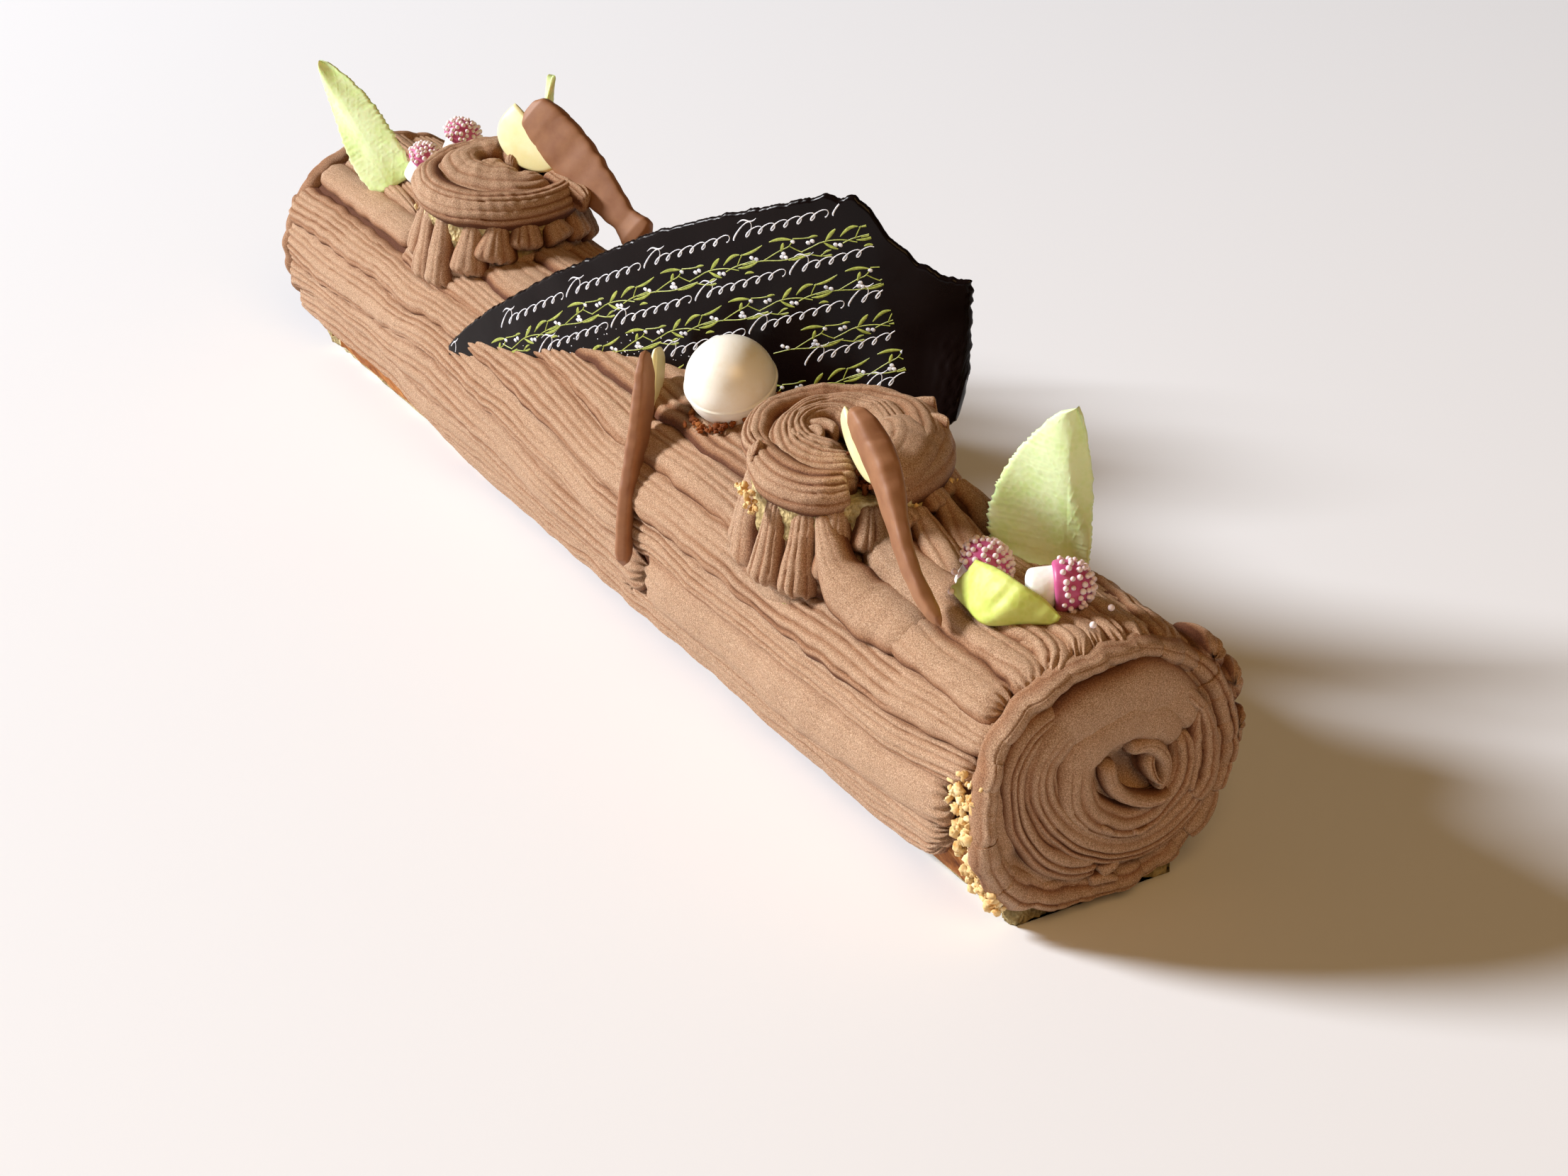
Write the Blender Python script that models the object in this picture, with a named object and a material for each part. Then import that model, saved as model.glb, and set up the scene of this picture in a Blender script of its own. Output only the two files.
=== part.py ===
"""Yule log cake: a sponge roll in a piped chocolate cream coat, with two sawn-off branch stubs on top,
a holly-leaf chocolate plaque, a pearl ball, three chocolate hatchets, four sugar-paste leaves and four
sugar toadstools.

Lengths are in metres. +X runs along the log to its open-spiral end, +Z is up, and the log rests at Z = 0.
"""

import math

import bmesh
import bpy
from mathutils import Matrix, Vector

GAP = 0.0003  # clearance between pieces that touch
CUT = 0.0005  # how far a cutter is grown along its normals, so that slanted faces keep the gap too

# Sponge roll: an oval that the table flattens
WIDEST = 0.0372  # height of the roll's widest level
ROLL_LENGTH = 0.4090
ROLL_HALF_WIDTH = 0.0305
ROLL_UP = 0.0280
ROLL_DOWN = 0.0545
ROLL_SIDES = 28

# Piped coat: ropes along the log, open underneath
COAT_HALF_WIDTH = 0.0376
COAT_UP = 0.0348
COAT_DOWN = 0.0500
COAT_HEM = 0.0040  # height of the coat's lower edge
ROPES = 16
ROPE_STEPS = 3  # one step in the groove and two on the crest
ROPE_RELIEF = 0.0022
ROPE_SWAY = 0.45  # how far the ropes drift sideways, in rope widths
COAT_STATIONS = 16
COAT_INNER_STEPS = 12

# Spirals over the two ends of the log
END_HALF_WIDTH = 0.0376
END_HALF_HEIGHT = 0.0348
END_DEPTH = 0.0098
END_TURNS = 3.2
END_PEAK = 0.0015
END_SIDES = 30

# Branch stubs
STUB_RADIUS = 0.0285
STUB_CORE_RADIUS = 0.0218
STUB_CORE_SIDES = 20
STUB_PETALS = 16
STUB_SINK = 0.0035  # how deep a stub sits in the coat
STUB_REACH = 0.0335  # past this distance from the log's middle line a petal hangs straight down
STUB_FLARE = 0.0030
SWIRL_DEPTH = 0.0105
SWIRL_TURNS = 2.3
SWIRL_PEAK = 0.0020
SWIRL_SIDES = 28
NEAR_STUB = Vector((0.1100, -0.0115, 0.0785))  # middle of the swirl's underside
FAR_STUB = Vector((-0.1060, -0.0030, 0.0812))

# Pearl ball
BALL_RADIUS = 0.0124
BALL_CENTRE = Vector((0.0484, -0.0100, 0.0788))

# Holly-leaf plaque: a sheet bent round an upright axis
PLAQUE_THICKNESS = 0.0022
PLAQUE_RADIUS = 0.3035
PLAQUE_AXIS = Vector((-0.1163, 0.2653))
PLAQUE_FACES = math.radians(-65.5)  # plan direction that the middle of the sheet faces
PLAQUE_COLUMNS = 14

# Hatchets
HATCHET_LENGTH = 0.0590
HATCHET_SIDES = 8
BLADE_CHORD = 0.0210
BLADE_REACH = 0.0095
BLADE_THICKNESS = 0.0026

# Leaves and toadstools
LEAF_THICKNESS = 0.0012
LEAF_STATIONS = 12
LEAF_FOLD = 0.22
BENT_LEAF_THICKNESS = 0.0018
CAP_SIDES = 12
STEM_SIDES = 10

# Each hatchet: the end of its head, the end of its knob, and the way its blade points
HATCHETS = (
    ("near_hatchet", (0.1290, -0.0222, 0.1052), (0.1750, -0.0254, 0.0680), (-0.635, 0.242, -0.733)),
    ("mid_hatchet", (0.0289, -0.0250, 0.0837), (0.0430, -0.0405, 0.0300), (-0.790, 0.483, -0.376)),
    ("far_hatchet", (-0.1090, 0.0092, 0.1070), (-0.0634, 0.0229, 0.0760), (-0.375, -0.518, -0.769)),
)
# Each upright leaf: its base, its tip, the way its width lies, and its width
LEAVES = (
    ("near_leaf", (0.1662, 0.0072, 0.0695), (0.1691, 0.0122, 0.1110), (0.51, 0.86, 0.0), 0.0250),
    ("far_leaf", (-0.1640, -0.0140, 0.0680), (-0.1902, -0.0265, 0.1054), (0.55, 0.80, 0.35), 0.0210),
    ("hidden_leaf", (-0.1420, 0.0285, 0.0560), (-0.1310, 0.0300, 0.1075), (-0.76, 0.45, -0.47), 0.0160),
)
# Each toadstool: the middle of its cap, the way its cap points, and the cap's radius
TOADSTOOLS = (
    ("near_left_toadstool", (0.1665, -0.0073, 0.0768), (0.35, 0.30, 0.88), 0.0062),
    ("near_right_toadstool", (0.1883, 0.0001, 0.0778), (0.51, 0.85, 0.09), 0.0059),
    ("far_left_toadstool", (-0.1534, -0.0067, 0.0800), (0.31, 0.42, 0.85), 0.0058),
    ("far_right_toadstool", (-0.1725, 0.0148, 0.0790), (0.25, 0.35, 0.90), 0.0060),
)

cake = bpy.data.objects.new("cake", None)  # carries every piece


def material(name, colour, roughness, metallic=0.0):
    made = bpy.data.materials.new(name)
    made.use_nodes = True
    shader = made.node_tree.nodes["Principled BSDF"]
    shader.inputs["Base Color"].default_value = (*colour, 1.0)
    shader.inputs["Roughness"].default_value = roughness
    shader.inputs["Metallic"].default_value = metallic
    return made


def add_object(name, bm, finish=None):
    """A bmesh as a named object on the cake, shaded smooth, with its faces pointing out."""
    bmesh.ops.recalc_face_normals(bm, faces=bm.faces)
    mesh = bpy.data.meshes.new(name)
    bm.to_mesh(mesh)
    bm.free()
    mesh.shade_smooth()
    mesh.set_sharp_from_angle(angle=math.radians(40))
    if finish:
        mesh.materials.append(finish)
    obj = bpy.data.objects.new(name, mesh)
    bpy.context.scene.collection.objects.link(obj)
    obj.parent = cake
    return obj


def loft(rings, closed=False):
    """A bmesh through rings of equally many points, back to the first or with a face over each end."""
    bm = bmesh.new()
    rows = [[bm.verts.new(point) for point in ring] for ring in rings]
    pairs = list(zip(rows, rows[1:]))
    if closed:
        pairs.append((rows[-1], rows[0]))
    else:
        bm.faces.new(rows[0][::-1])
        bm.faces.new(rows[-1])
    for low, high in pairs:
        for i in range(len(low)):
            j = (i + 1) % len(low)
            bm.faces.new((low[i], low[j], high[j], high[i]))
    return bm


def circle(sides, x, half_y, half_z):
    """Points round the X axis at x."""
    turns = [2 * math.pi * (k + 0.5) / sides for k in range(sides)]
    return [Vector((x, half_y * math.cos(turn), half_z * math.sin(turn))) for turn in turns]


def hide(cutter):
    cutter.hide_render = True
    cutter.display_type = "WIRE"
    return cutter


def subtract(target, cutter):
    cut = target.modifiers.new(f"less {cutter.name}"[:58], "BOOLEAN")
    cut.operation = "DIFFERENCE"
    cut.solver = "EXACT"
    cut.object = cutter


def carve(target, *pieces):
    """Cuts room in the target for each piece, with the clearance left free round it."""
    for piece in pieces:
        mesh = piece.data.copy()
        for vertex in mesh.vertices:
            vertex.co += vertex.normal * CUT
        cutter = bpy.data.objects.new(f"room for {piece.name}", mesh)
        bpy.context.scene.collection.objects.link(cutter)
        cutter.parent = cake
        subtract(target, hide(cutter))


def frame_of(origin, along, side):
    """Matrix that lays local X along a direction and local Y as near as it can to a second one."""
    x = Vector(along).normalized()
    z = x.cross(Vector(side)).normalized()
    turn = Matrix((x, z.cross(x), z)).transposed().to_4x4()
    return Matrix.Translation(origin) @ turn


def interpolate(points, at):
    """Value at a position along a list of (position, value) points."""
    for (a, low), (b, high) in zip(points, points[1:]):
        if a <= at <= b:
            return low + (high - low) * (at - a) / (b - a)
    return points[-1][1]


# ---- log ----


def oval(angle, half_width, up, down):
    """Point (y, z) of an oval about the widest level, whose upper and lower halves differ."""
    height = up if math.sin(angle) > 0 else down
    return half_width * math.cos(angle), WIDEST + height * math.sin(angle)


def coat_top(y):
    """Height of the coat's crests at a distance y from the middle line."""
    return WIDEST + COAT_UP * math.sqrt(1 - min(abs(y), STUB_REACH) ** 2 / COAT_HALF_WIDTH**2)


def make_sponge_roll(finish):
    low = -math.asin(WIDEST / ROLL_DOWN)
    rings = []
    for x in (-ROLL_LENGTH / 2, ROLL_LENGTH / 2):
        ring = []
        for i in range(ROLL_SIDES + 1):
            y, z = oval(low + i / ROLL_SIDES * (math.pi - 2 * low), ROLL_HALF_WIDTH, ROLL_UP, ROLL_DOWN)
            ring.append(Vector((x, y, z)))
        rings.append(ring)
    return add_object("sponge_roll", loft(rings), finish)


def coat_ring(along):
    """The coat's outline at a share of its length: the ropes over the top, and the inside back again."""
    x = (along - 0.5) * ROLL_LENGTH
    low = -math.asin((WIDEST - COAT_HEM) / COAT_DOWN)
    drift = math.sin(2 * math.pi * (2.2 * along + 0.1)) + 0.5 * math.sin(2 * math.pi * 3.7 * along)
    steps = ROPES * ROPE_STEPS
    ring = []
    for i in range(steps + 1):
        share = i / steps
        fade = min(1.0, 8 * share, 8 * (1 - share))
        depth = 0.0 if i % ROPE_STEPS else ROPE_RELIEF * fade
        share += ROPE_SWAY * drift * fade / ROPES
        angle = low + share * (math.pi - 2 * low)
        y, z = oval(angle, COAT_HALF_WIDTH - depth, COAT_UP - depth, COAT_DOWN - depth)
        ring.append(Vector((x, y, z)))
    low = -math.asin((WIDEST - COAT_HEM) / ROLL_DOWN)
    for i in range(COAT_INNER_STEPS + 1):
        angle = math.pi - low - i / COAT_INNER_STEPS * (math.pi - 2 * low)
        y, z = oval(angle, ROLL_HALF_WIDTH + 3 * GAP, ROLL_UP + 3 * GAP, ROLL_DOWN)
        ring.append(Vector((x, y, z)))
    return ring


def make_coat(finish):
    rings = [coat_ring(i / (COAT_STATIONS - 1)) for i in range(COAT_STATIONS)]
    return add_object("cream_coat", loft(rings), finish)


def spiral_rings(half_x, half_y, depth, turns, peak, sides, hand):
    """Rings of a piped spiral lying on Z = 0, from its foot over its rim and its turns to a small peak."""
    rings = []
    for share in (0.93, 1.0, 0.94, 0.86, 0.76, 0.65, 0.54, 0.42, 0.30, 0.18, 0.06):
        ring = []
        for k in range(sides):
            angle = 2 * math.pi * k / sides
            ridge = abs(math.sin(math.pi * (turns * share - hand * k / sides))) ** 0.7
            height = math.sqrt(1 - (0.93 * share) ** 4) * (0.70 + 0.30 * ridge)
            if len(rings) < 2:
                height = 0.45 * len(rings)
            if share < 0.1:
                height = 1 + peak / depth
            x, y = share * half_x * math.cos(angle), share * half_y * math.sin(angle)
            ring.append(Vector((x, y, height * depth)))
        rings.append(ring)
    return rings


def make_end(name, side, finish):
    """The spiral over one end of the log, facing +X for side 1 and -X for side -1."""
    rings = spiral_rings(END_HALF_WIDTH, END_HALF_HEIGHT, END_DEPTH, END_TURNS, END_PEAK, END_SIDES, 1)
    bm = loft(rings)
    turn = Matrix(((0, 0, side), (side, 0, 0), (0, 1, 0))).to_4x4()
    bmesh.ops.transform(bm, verts=bm.verts, matrix=turn)
    bmesh.ops.translate(bm, verts=bm.verts, vec=(side * (ROLL_LENGTH / 2 + GAP), 0, WIDEST))
    return add_object(name, bm, finish)


# ---- branch stubs ----


def stub_column(seat, radius, sink, top):
    """An upright column whose foot follows the coat's crests, that far below them."""
    rings = []
    for share in (0.35, 0.70, 1.0, 1.0):
        ring = []
        for k in range(STUB_CORE_SIDES):
            angle = 2 * math.pi * k / STUB_CORE_SIDES
            y = seat.y + share * radius * math.sin(angle)
            z = top if len(rings) == 3 else coat_top(y) - sink
            ring.append(Vector((seat.x + share * radius * math.cos(angle), y, z)))
        rings.append(ring)
    return loft(rings)


def petal_point(seat, k, share, hollow):
    """Point of the petals' band, at a share of its height from the foot, outside or on the inner wall."""
    angle = 2 * math.pi * k / (3 * STUB_PETALS)
    groove = 1 if k % 3 == 0 else 0
    radius = STUB_CORE_RADIUS + 2 * GAP
    if not hollow:
        radius = STUB_RADIUS - 0.0002 - 0.0028 * groove + STUB_FLARE * (1 - share) ** 2 - 0.0020 * share**3
    y = seat.y + radius * math.sin(angle)
    foot = coat_top(y) - STUB_SINK
    top = seat.z - 3 * GAP - 0.0030 * groove
    return Vector((seat.x + radius * math.cos(angle), y, foot + share * (top - foot)))


def make_petals(name, seat, finish):
    """A closed band of upright petals round the core: up the outside, and down the inner wall."""
    rings = []
    for share, hollow in ((0.0, False), (0.4, False), (0.8, False), (1.0, False), (1.0, True), (0.0, True)):
        rings.append([petal_point(seat, k, share, hollow) for k in range(3 * STUB_PETALS)])
    return add_object(name, loft(rings, closed=True), finish)


def make_stub(name, seat, hand, coat, cream, sponge):
    """A branch stub: sponge core, petals round it and a swirl over both, let into the coat."""
    column = stub_column(seat, STUB_CORE_RADIUS, STUB_SINK, seat.z - GAP)
    core = add_object(f"{name}_stub_core", column, sponge)
    petals = make_petals(f"{name}_stub_petals", seat, cream)
    room = stub_column(seat, STUB_RADIUS + STUB_FLARE + 2 * GAP, STUB_SINK + 5 * GAP, seat.z)
    subtract(coat, hide(add_object(f"room for {name} stub", room)))
    rings = spiral_rings(STUB_RADIUS, STUB_RADIUS, SWIRL_DEPTH, SWIRL_TURNS, SWIRL_PEAK, SWIRL_SIDES, hand)
    bm = loft(rings)
    bmesh.ops.translate(bm, verts=bm.verts, vec=seat)
    return core, petals, add_object(f"{name}_stub_swirl", bm, cream)


# ---- plaque and ball ----


def plaque_point(along, height, inset):
    """Point of the bent sheet, by its distance along the bend, its height and its depth behind the front."""
    turn = PLAQUE_FACES + along / PLAQUE_RADIUS
    reach = PLAQUE_RADIUS - inset
    x, y = PLAQUE_AXIS + Vector((math.cos(turn), math.sin(turn))) * reach
    return Vector((x, y, height))


def make_plaque(finish):
    """The upper half of a holly leaf: a long bow up to the crown, and a scallop down to the end spike."""
    crown = [(-0.0931, 0.0480), (-0.0830, 0.0570), (-0.0707, 0.0664), (-0.0410, 0.0859), (-0.0018, 0.1081)]
    crown += [(0.0200, 0.1172), (0.0400, 0.1242), (0.0522, 0.1286), (0.0565, 0.1283), (0.0605, 0.1296)]
    crown += [(0.0647, 0.1265), (0.0701, 0.1195), (0.0784, 0.1135), (0.0860, 0.1106), (0.0933, 0.1103)]
    foot = [(-0.0931, 0.0440), (-0.0700, 0.0510), (-0.0350, 0.0604), (0.0, 0.0665), (0.0300, 0.0679)]
    foot += [(0.0600, 0.0640), (0.0850, 0.0655), (0.0911, 0.0720), (0.0933, 0.0840)]
    start, end = crown[0][0], crown[-1][0]
    stops = [along for along, _ in crown]
    stops += [start + (end - start) * i / PLAQUE_COLUMNS for i in range(PLAQUE_COLUMNS)]
    rings = []
    last = -1.0
    for along in sorted(stops):
        if along - last < 0.0020:
            continue
        last = along
        low, high = interpolate(foot, along), interpolate(crown, along)
        ring = [plaque_point(along, height, 0.0) for height in (low, high)]
        ring += [plaque_point(along, height, PLAQUE_THICKNESS) for height in (high, low)]
        rings.append(ring)
    return add_object("chocolate_plaque", loft(rings), finish)


def make_ball(finish):
    bm = bmesh.new()
    bmesh.ops.create_uvsphere(bm, u_segments=18, v_segments=11, radius=BALL_RADIUS)
    bmesh.ops.translate(bm, verts=bm.verts, vec=BALL_CENTRE)
    return add_object("pearl_ball", bm, finish)


# ---- hatchets ----


def make_hatchet(name, head, knob, blade_side, handle_finish, blade_finish):
    """A moulded hatchet from the end of its head to the end of its knob, with the blade on one side."""
    place = frame_of(head, Vector(knob) - Vector(head), blade_side)
    half_widths = [(0.0, 0.0036), (0.05, 0.0054), (0.15, 0.0062), (0.35, 0.0066), (0.55, 0.0058)]
    half_widths += [(0.75, 0.0042), (0.83, 0.0034), (0.91, 0.0054), (0.97, 0.0046), (1.0, 0.0022)]
    half_depths = [(0.0, 0.0022), (0.15, 0.0038), (0.35, 0.0030), (0.75, 0.0020), (0.91, 0.0024)]
    half_depths += [(1.0, 0.0014)]
    rings = []
    for share, half in half_widths:
        rings.append(circle(HATCHET_SIDES, share * HATCHET_LENGTH, half, interpolate(half_depths, share)))
    bm = loft(rings)
    bmesh.ops.transform(bm, verts=bm.verts, matrix=place)
    handle = add_object(f"{name}_handle", bm, handle_finish)
    rings = []
    for level, grow in ((-1, 0.88), (-0.4, 1.0), (0.4, 1.0), (1, 0.88)):
        ring = []
        for k in range(11):
            angle = math.pi * k / 10
            x = 0.0070 - BLADE_CHORD / 2 * grow * math.cos(angle) - 0.0030 * math.sin(angle)
            y = 0.0070 + BLADE_REACH * grow * math.sin(angle) ** 0.75
            ring.append(Vector((x, y, level * BLADE_THICKNESS / 2)))
        rings.append(ring)
    bm = loft(rings)
    bmesh.ops.transform(bm, verts=bm.verts, matrix=place)
    return handle, add_object(f"{name}_blade", bm, blade_finish)


# ---- leaves and toadstools ----


def make_leaf(name, base, tip, side, width, finish):
    """A toothed sheet from base to tip, folded along its midrib."""
    base, tip = Vector(base), Vector(tip)
    place = frame_of(base, tip - base, side)
    rings = []
    for i in range(LEAF_STATIONS + 1):
        share = i / LEAF_STATIONS
        half = width / 2 * math.sin(math.pi * (0.12 + 0.85 * share**0.8)) ** 0.8
        half *= 1.06 if i % 2 else 0.96
        ring = []
        for across, level in ((-1, 0.5), (0, 0.5), (1, 0.5), (1, -0.5), (0, -0.5), (-1, -0.5)):
            z = abs(across) * half * LEAF_FOLD + level * LEAF_THICKNESS
            ring.append(Vector((share * (tip - base).length, across * half, z)))
        rings.append(ring)
    bm = loft(rings)
    bmesh.ops.transform(bm, verts=bm.verts, matrix=place)
    return add_object(name, bm, finish)


def make_bent_leaf(finish):
    """A short broken leaf that leans on the toadstools, by its lower and upper edges from end to end."""
    lower = [(0.1655, -0.0178, 0.0712), (0.1735, -0.0190, 0.0712), (0.1828, -0.0194, 0.0702)]
    lower += [(0.1885, -0.0135, 0.0712), (0.1940, -0.0080, 0.0722)]
    upper = [(0.1702, -0.0138, 0.0802), (0.1780, -0.0130, 0.0812), (0.1872, -0.0120, 0.0806)]
    upper += [(0.1912, -0.0088, 0.0780), (0.1952, -0.0068, 0.0745)]
    out = Vector((0.62, -0.55, 0.56)) * BENT_LEAF_THICKNESS / 2
    rings = []
    for i, (low, high) in enumerate(zip(lower, upper)):
        low, high = Vector(low), Vector(high)
        middle = (low + high) / 2 + out * (1.6 * math.sin(math.pi * i / 4))
        rings.append([low + out, middle + out, high + out, high - out, middle - out, low - out])
    return add_object("bent_leaf", loft(rings), finish)


def make_toadstool(name, cap_centre, axis, radius, stem_finish, cap_finish):
    """A plump stem and a domed cap on one axis."""
    axis = Vector(axis).normalized()
    stem_length = 1.15 * radius
    place = frame_of(Vector(cap_centre) - axis * (stem_length + 0.5 * radius), axis, (0.3, 0.2, -0.9))
    stem = [circle(STEM_SIDES, share * stem_length, grow * radius, grow * radius)
            for share, grow in ((0.0, 0.45), (0.12, 0.68), (0.45, 0.80), (1.0, 0.76))]
    cap = [circle(CAP_SIDES, stem_length + GAP + lift * radius, grow * radius, grow * radius)
           for lift, grow in ((0.0, 0.84), (0.12, 0.98), (0.35, 1.0), (0.7, 0.84), (0.95, 0.56), (1.1, 0.2))]
    pieces = []
    for part, rings, finish in (("stem", stem, stem_finish), ("cap", cap, cap_finish)):
        bm = loft(rings)
        bmesh.ops.transform(bm, verts=bm.verts, matrix=place)
        pieces.append(add_object(f"{name}_{part}", bm, finish))
    return pieces


def centre_on_base():
    """Moves the cake so that its bounding box stands centred over the origin."""
    bpy.context.view_layer.update()
    graph = bpy.context.evaluated_depsgraph_get()
    points = []
    for obj in cake.children:
        if not obj.hide_render:
            solid = obj.evaluated_get(graph)
            points += [solid.matrix_world @ vertex.co for vertex in solid.data.vertices]
    for axis in (0, 1):
        spread = [point[axis] for point in points]
        cake.location[axis] = -(min(spread) + max(spread)) / 2


def main():
    for obj in list(bpy.data.objects):
        if obj != cake:
            bpy.data.objects.remove(obj, do_unlink=True)
    bpy.context.scene.collection.objects.link(cake)

    cream = material("whipped chocolate cream", (0.36, 0.20, 0.13), 0.75)
    sponge = material("sponge", (0.80, 0.62, 0.30), 0.95)
    dark = material("dark chocolate", (0.012, 0.006, 0.005), 0.18)
    milk = material("milk chocolate", (0.23, 0.09, 0.045), 0.42)
    white = material("pale chocolate", (0.93, 0.86, 0.50), 0.35)
    pearl = material("pearl lustre", (0.85, 0.76, 0.55), 0.30, 0.35)
    paste = material("green sugar paste", (0.55, 0.72, 0.22), 0.55)
    sugar = material("white sugar", (0.90, 0.88, 0.86), 0.50)
    pink = material("pink icing", (0.60, 0.10, 0.28), 0.35)

    make_sponge_roll(sponge)
    coat = make_coat(cream)
    make_end("cream_end_near", 1, cream)
    make_end("cream_end_far", -1, cream)
    near_stub = make_stub("near", NEAR_STUB, 1, coat, cream, sponge)
    far_stub = make_stub("far", FAR_STUB, -1, coat, cream, sponge)

    hatchets = []
    for name, head, knob, blade_side in HATCHETS:
        hatchets.append(make_hatchet(name, head, knob, blade_side, milk, white))
    for stub, hatchet in ((near_stub, hatchets[0]), (far_stub, hatchets[2])):
        for piece in stub:
            carve(piece, *hatchet)
    toppings = [make_plaque(dark), make_ball(pearl), make_bent_leaf(paste)]
    for pair in hatchets:
        toppings += pair
    for name, base, tip, side, width in LEAVES:
        toppings.append(make_leaf(name, base, tip, side, width, paste))
    for name, centre, axis, radius in TOADSTOOLS:
        toppings += make_toadstool(name, centre, axis, radius, sugar, pink)
    carve(coat, *toppings)
    centre_on_base()


main()
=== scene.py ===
"""Yule log cake, dressed: piped chocolate cream over a sponge roll, with branch stubs and toppings.

Lengths are in metres. +X runs along the log to its open-spiral end, -Y is its front and +Z is up.
"""

import math

import bmesh
import bpy
import numpy as np
from mathutils import Matrix, Vector


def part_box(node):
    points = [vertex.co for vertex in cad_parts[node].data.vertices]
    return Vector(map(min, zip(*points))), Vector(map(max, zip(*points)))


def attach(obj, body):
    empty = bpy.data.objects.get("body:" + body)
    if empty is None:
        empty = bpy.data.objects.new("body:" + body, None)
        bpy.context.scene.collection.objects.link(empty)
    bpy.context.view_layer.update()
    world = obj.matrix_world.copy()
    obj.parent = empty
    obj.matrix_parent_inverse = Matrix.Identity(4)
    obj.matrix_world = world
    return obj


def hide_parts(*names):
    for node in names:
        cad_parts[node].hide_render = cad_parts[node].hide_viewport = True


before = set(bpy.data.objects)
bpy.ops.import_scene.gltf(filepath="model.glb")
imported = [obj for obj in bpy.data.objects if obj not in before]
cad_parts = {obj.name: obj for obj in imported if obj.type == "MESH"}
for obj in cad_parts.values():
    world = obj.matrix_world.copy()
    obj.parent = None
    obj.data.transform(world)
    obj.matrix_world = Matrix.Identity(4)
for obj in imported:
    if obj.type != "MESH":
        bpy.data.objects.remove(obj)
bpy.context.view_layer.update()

MM = 0.001

# ---- where the solids are ----

ROLL_LOW, ROLL_HIGH = (Vector(corner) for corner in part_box("sponge_roll"))
END_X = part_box("cream_end_near")[0][0]  # where the near spiral starts
ALONG = (ROLL_HIGH.x + ROLL_LOW.x) / 2
HALF_LENGTH = (ROLL_HIGH.x - ROLL_LOW.x) / 2
MIDDLE_Y = (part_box("cream_end_near")[0][1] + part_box("cream_end_near")[1][1]) / 2

WIDEST = 0.0372
COAT_HALF_WIDTH = 0.0376
COAT_UP = 0.0348
COAT_DOWN = 0.0500
COAT_HEM = 0.0040


def middle_of(node):
    low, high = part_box(node)
    return (Vector(low) + Vector(high)) / 2


# ---- tools ----


def wander(seed, size, *where):
    """Smooth unevenness from -1 to 1, whose humps are about `size` apart, at arrays of positions."""
    dice = np.random.default_rng(seed)
    total = 0.0
    for _ in range(7):
        way = dice.normal(size=len(where))
        way /= np.linalg.norm(way)
        pace = 2 * math.pi / size * dice.uniform(0.55, 1.5)
        total = total + np.sin(pace * sum(w * p for w, p in zip(way, where)) + dice.uniform(0, 2 * math.pi))
    return total / 4.2


def ease(x, start, end):
    """0 before start, 1 after end, and smooth between them."""
    t = np.clip((np.asarray(x, float) - start) / (end - start), 0, 1)
    return t * t * (3 - 2 * t)


def unit(vectors):
    return vectors / np.linalg.norm(vectors, axis=-1, keepdims=True)


def through(rows, count, places=3):
    """A smooth curve through rows of numbers, evenly spaced along the ones that are places."""
    rows = np.array(rows, float)
    far = np.concatenate([[0], np.cumsum(np.linalg.norm(np.diff(rows[:, :places], axis=0), axis=1))])
    slopes = np.gradient(rows, far, axis=0)
    at = np.linspace(0, far[-1], count)
    k = np.clip(np.searchsorted(far, at, side="right") - 1, 0, len(rows) - 2)
    gap = (far[k + 1] - far[k])[:, None]
    t = (at - far[k])[:, None] / gap
    start = (1 + 2 * t) * (1 - t) ** 2 * rows[k] + t * (1 - t) ** 2 * gap * slopes[k]
    return start + t * t * (3 - 2 * t) * rows[k + 1] + t * t * (t - 1) * gap * slopes[k + 1]


def place_vertices(vertices, points):
    for vertex, point in zip(vertices, points):
        vertex.co = point


def new_grid(bm, columns, rows):
    """A flat grid in a bmesh, with each vertex's place along and across it as whole numbers."""
    made = bmesh.ops.create_grid(bm, x_segments=columns, y_segments=rows, size=0.5)["verts"]
    i = np.array([round((v.co.x + 0.5) * columns) for v in made])
    j = np.array([round((v.co.y + 0.5) * rows) for v in made])
    return made, i, j


def finish_piece(name, bm, material, nodes, merge=1e-6, turn_out=True):
    """A bmesh as a named piece that rides on the cake and stands for its CAD nodes."""
    if merge:
        bmesh.ops.remove_doubles(bm, verts=bm.verts, dist=merge)
    if turn_out:
        bmesh.ops.recalc_face_normals(bm, faces=bm.faces)
    mesh = bpy.data.meshes.new(name)
    bm.to_mesh(mesh)
    bm.free()
    mesh.shade_smooth()
    for one in material if isinstance(material, list) else [material]:
        mesh.materials.append(one)
    piece = bpy.data.objects.new(name, mesh)
    bpy.context.scene.collection.objects.link(piece)
    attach(piece, "root")
    if nodes:
        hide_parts(*nodes)
    return piece


# ---- materials ----


def linear(code):
    """An sRGB hex colour as linear values."""
    parts = [int(code[k : k + 2], 16) / 255 for k in (0, 2, 4)]
    return [c / 12.92 if c <= 0.04045 else ((c + 0.055) / 1.055) ** 2.4 for c in parts] + [1.0]


def add_node(tree, kind, settings=None, **links):
    """A node with its settings, and links or values for its inputs by name; a number picks an input by place."""
    node = tree.nodes.new(kind)
    for key, value in (settings or {}).items():
        setattr(node, key, value)
    for key, value in links.items():
        place = int(key[1:]) if key[0] == "n" and key[1:].isdigit() else key.replace("_", " ")
        socket = node.inputs[place]
        if isinstance(value, bpy.types.NodeSocket):
            tree.links.new(value, socket)
        else:
            socket.default_value = value
    return node


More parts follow.
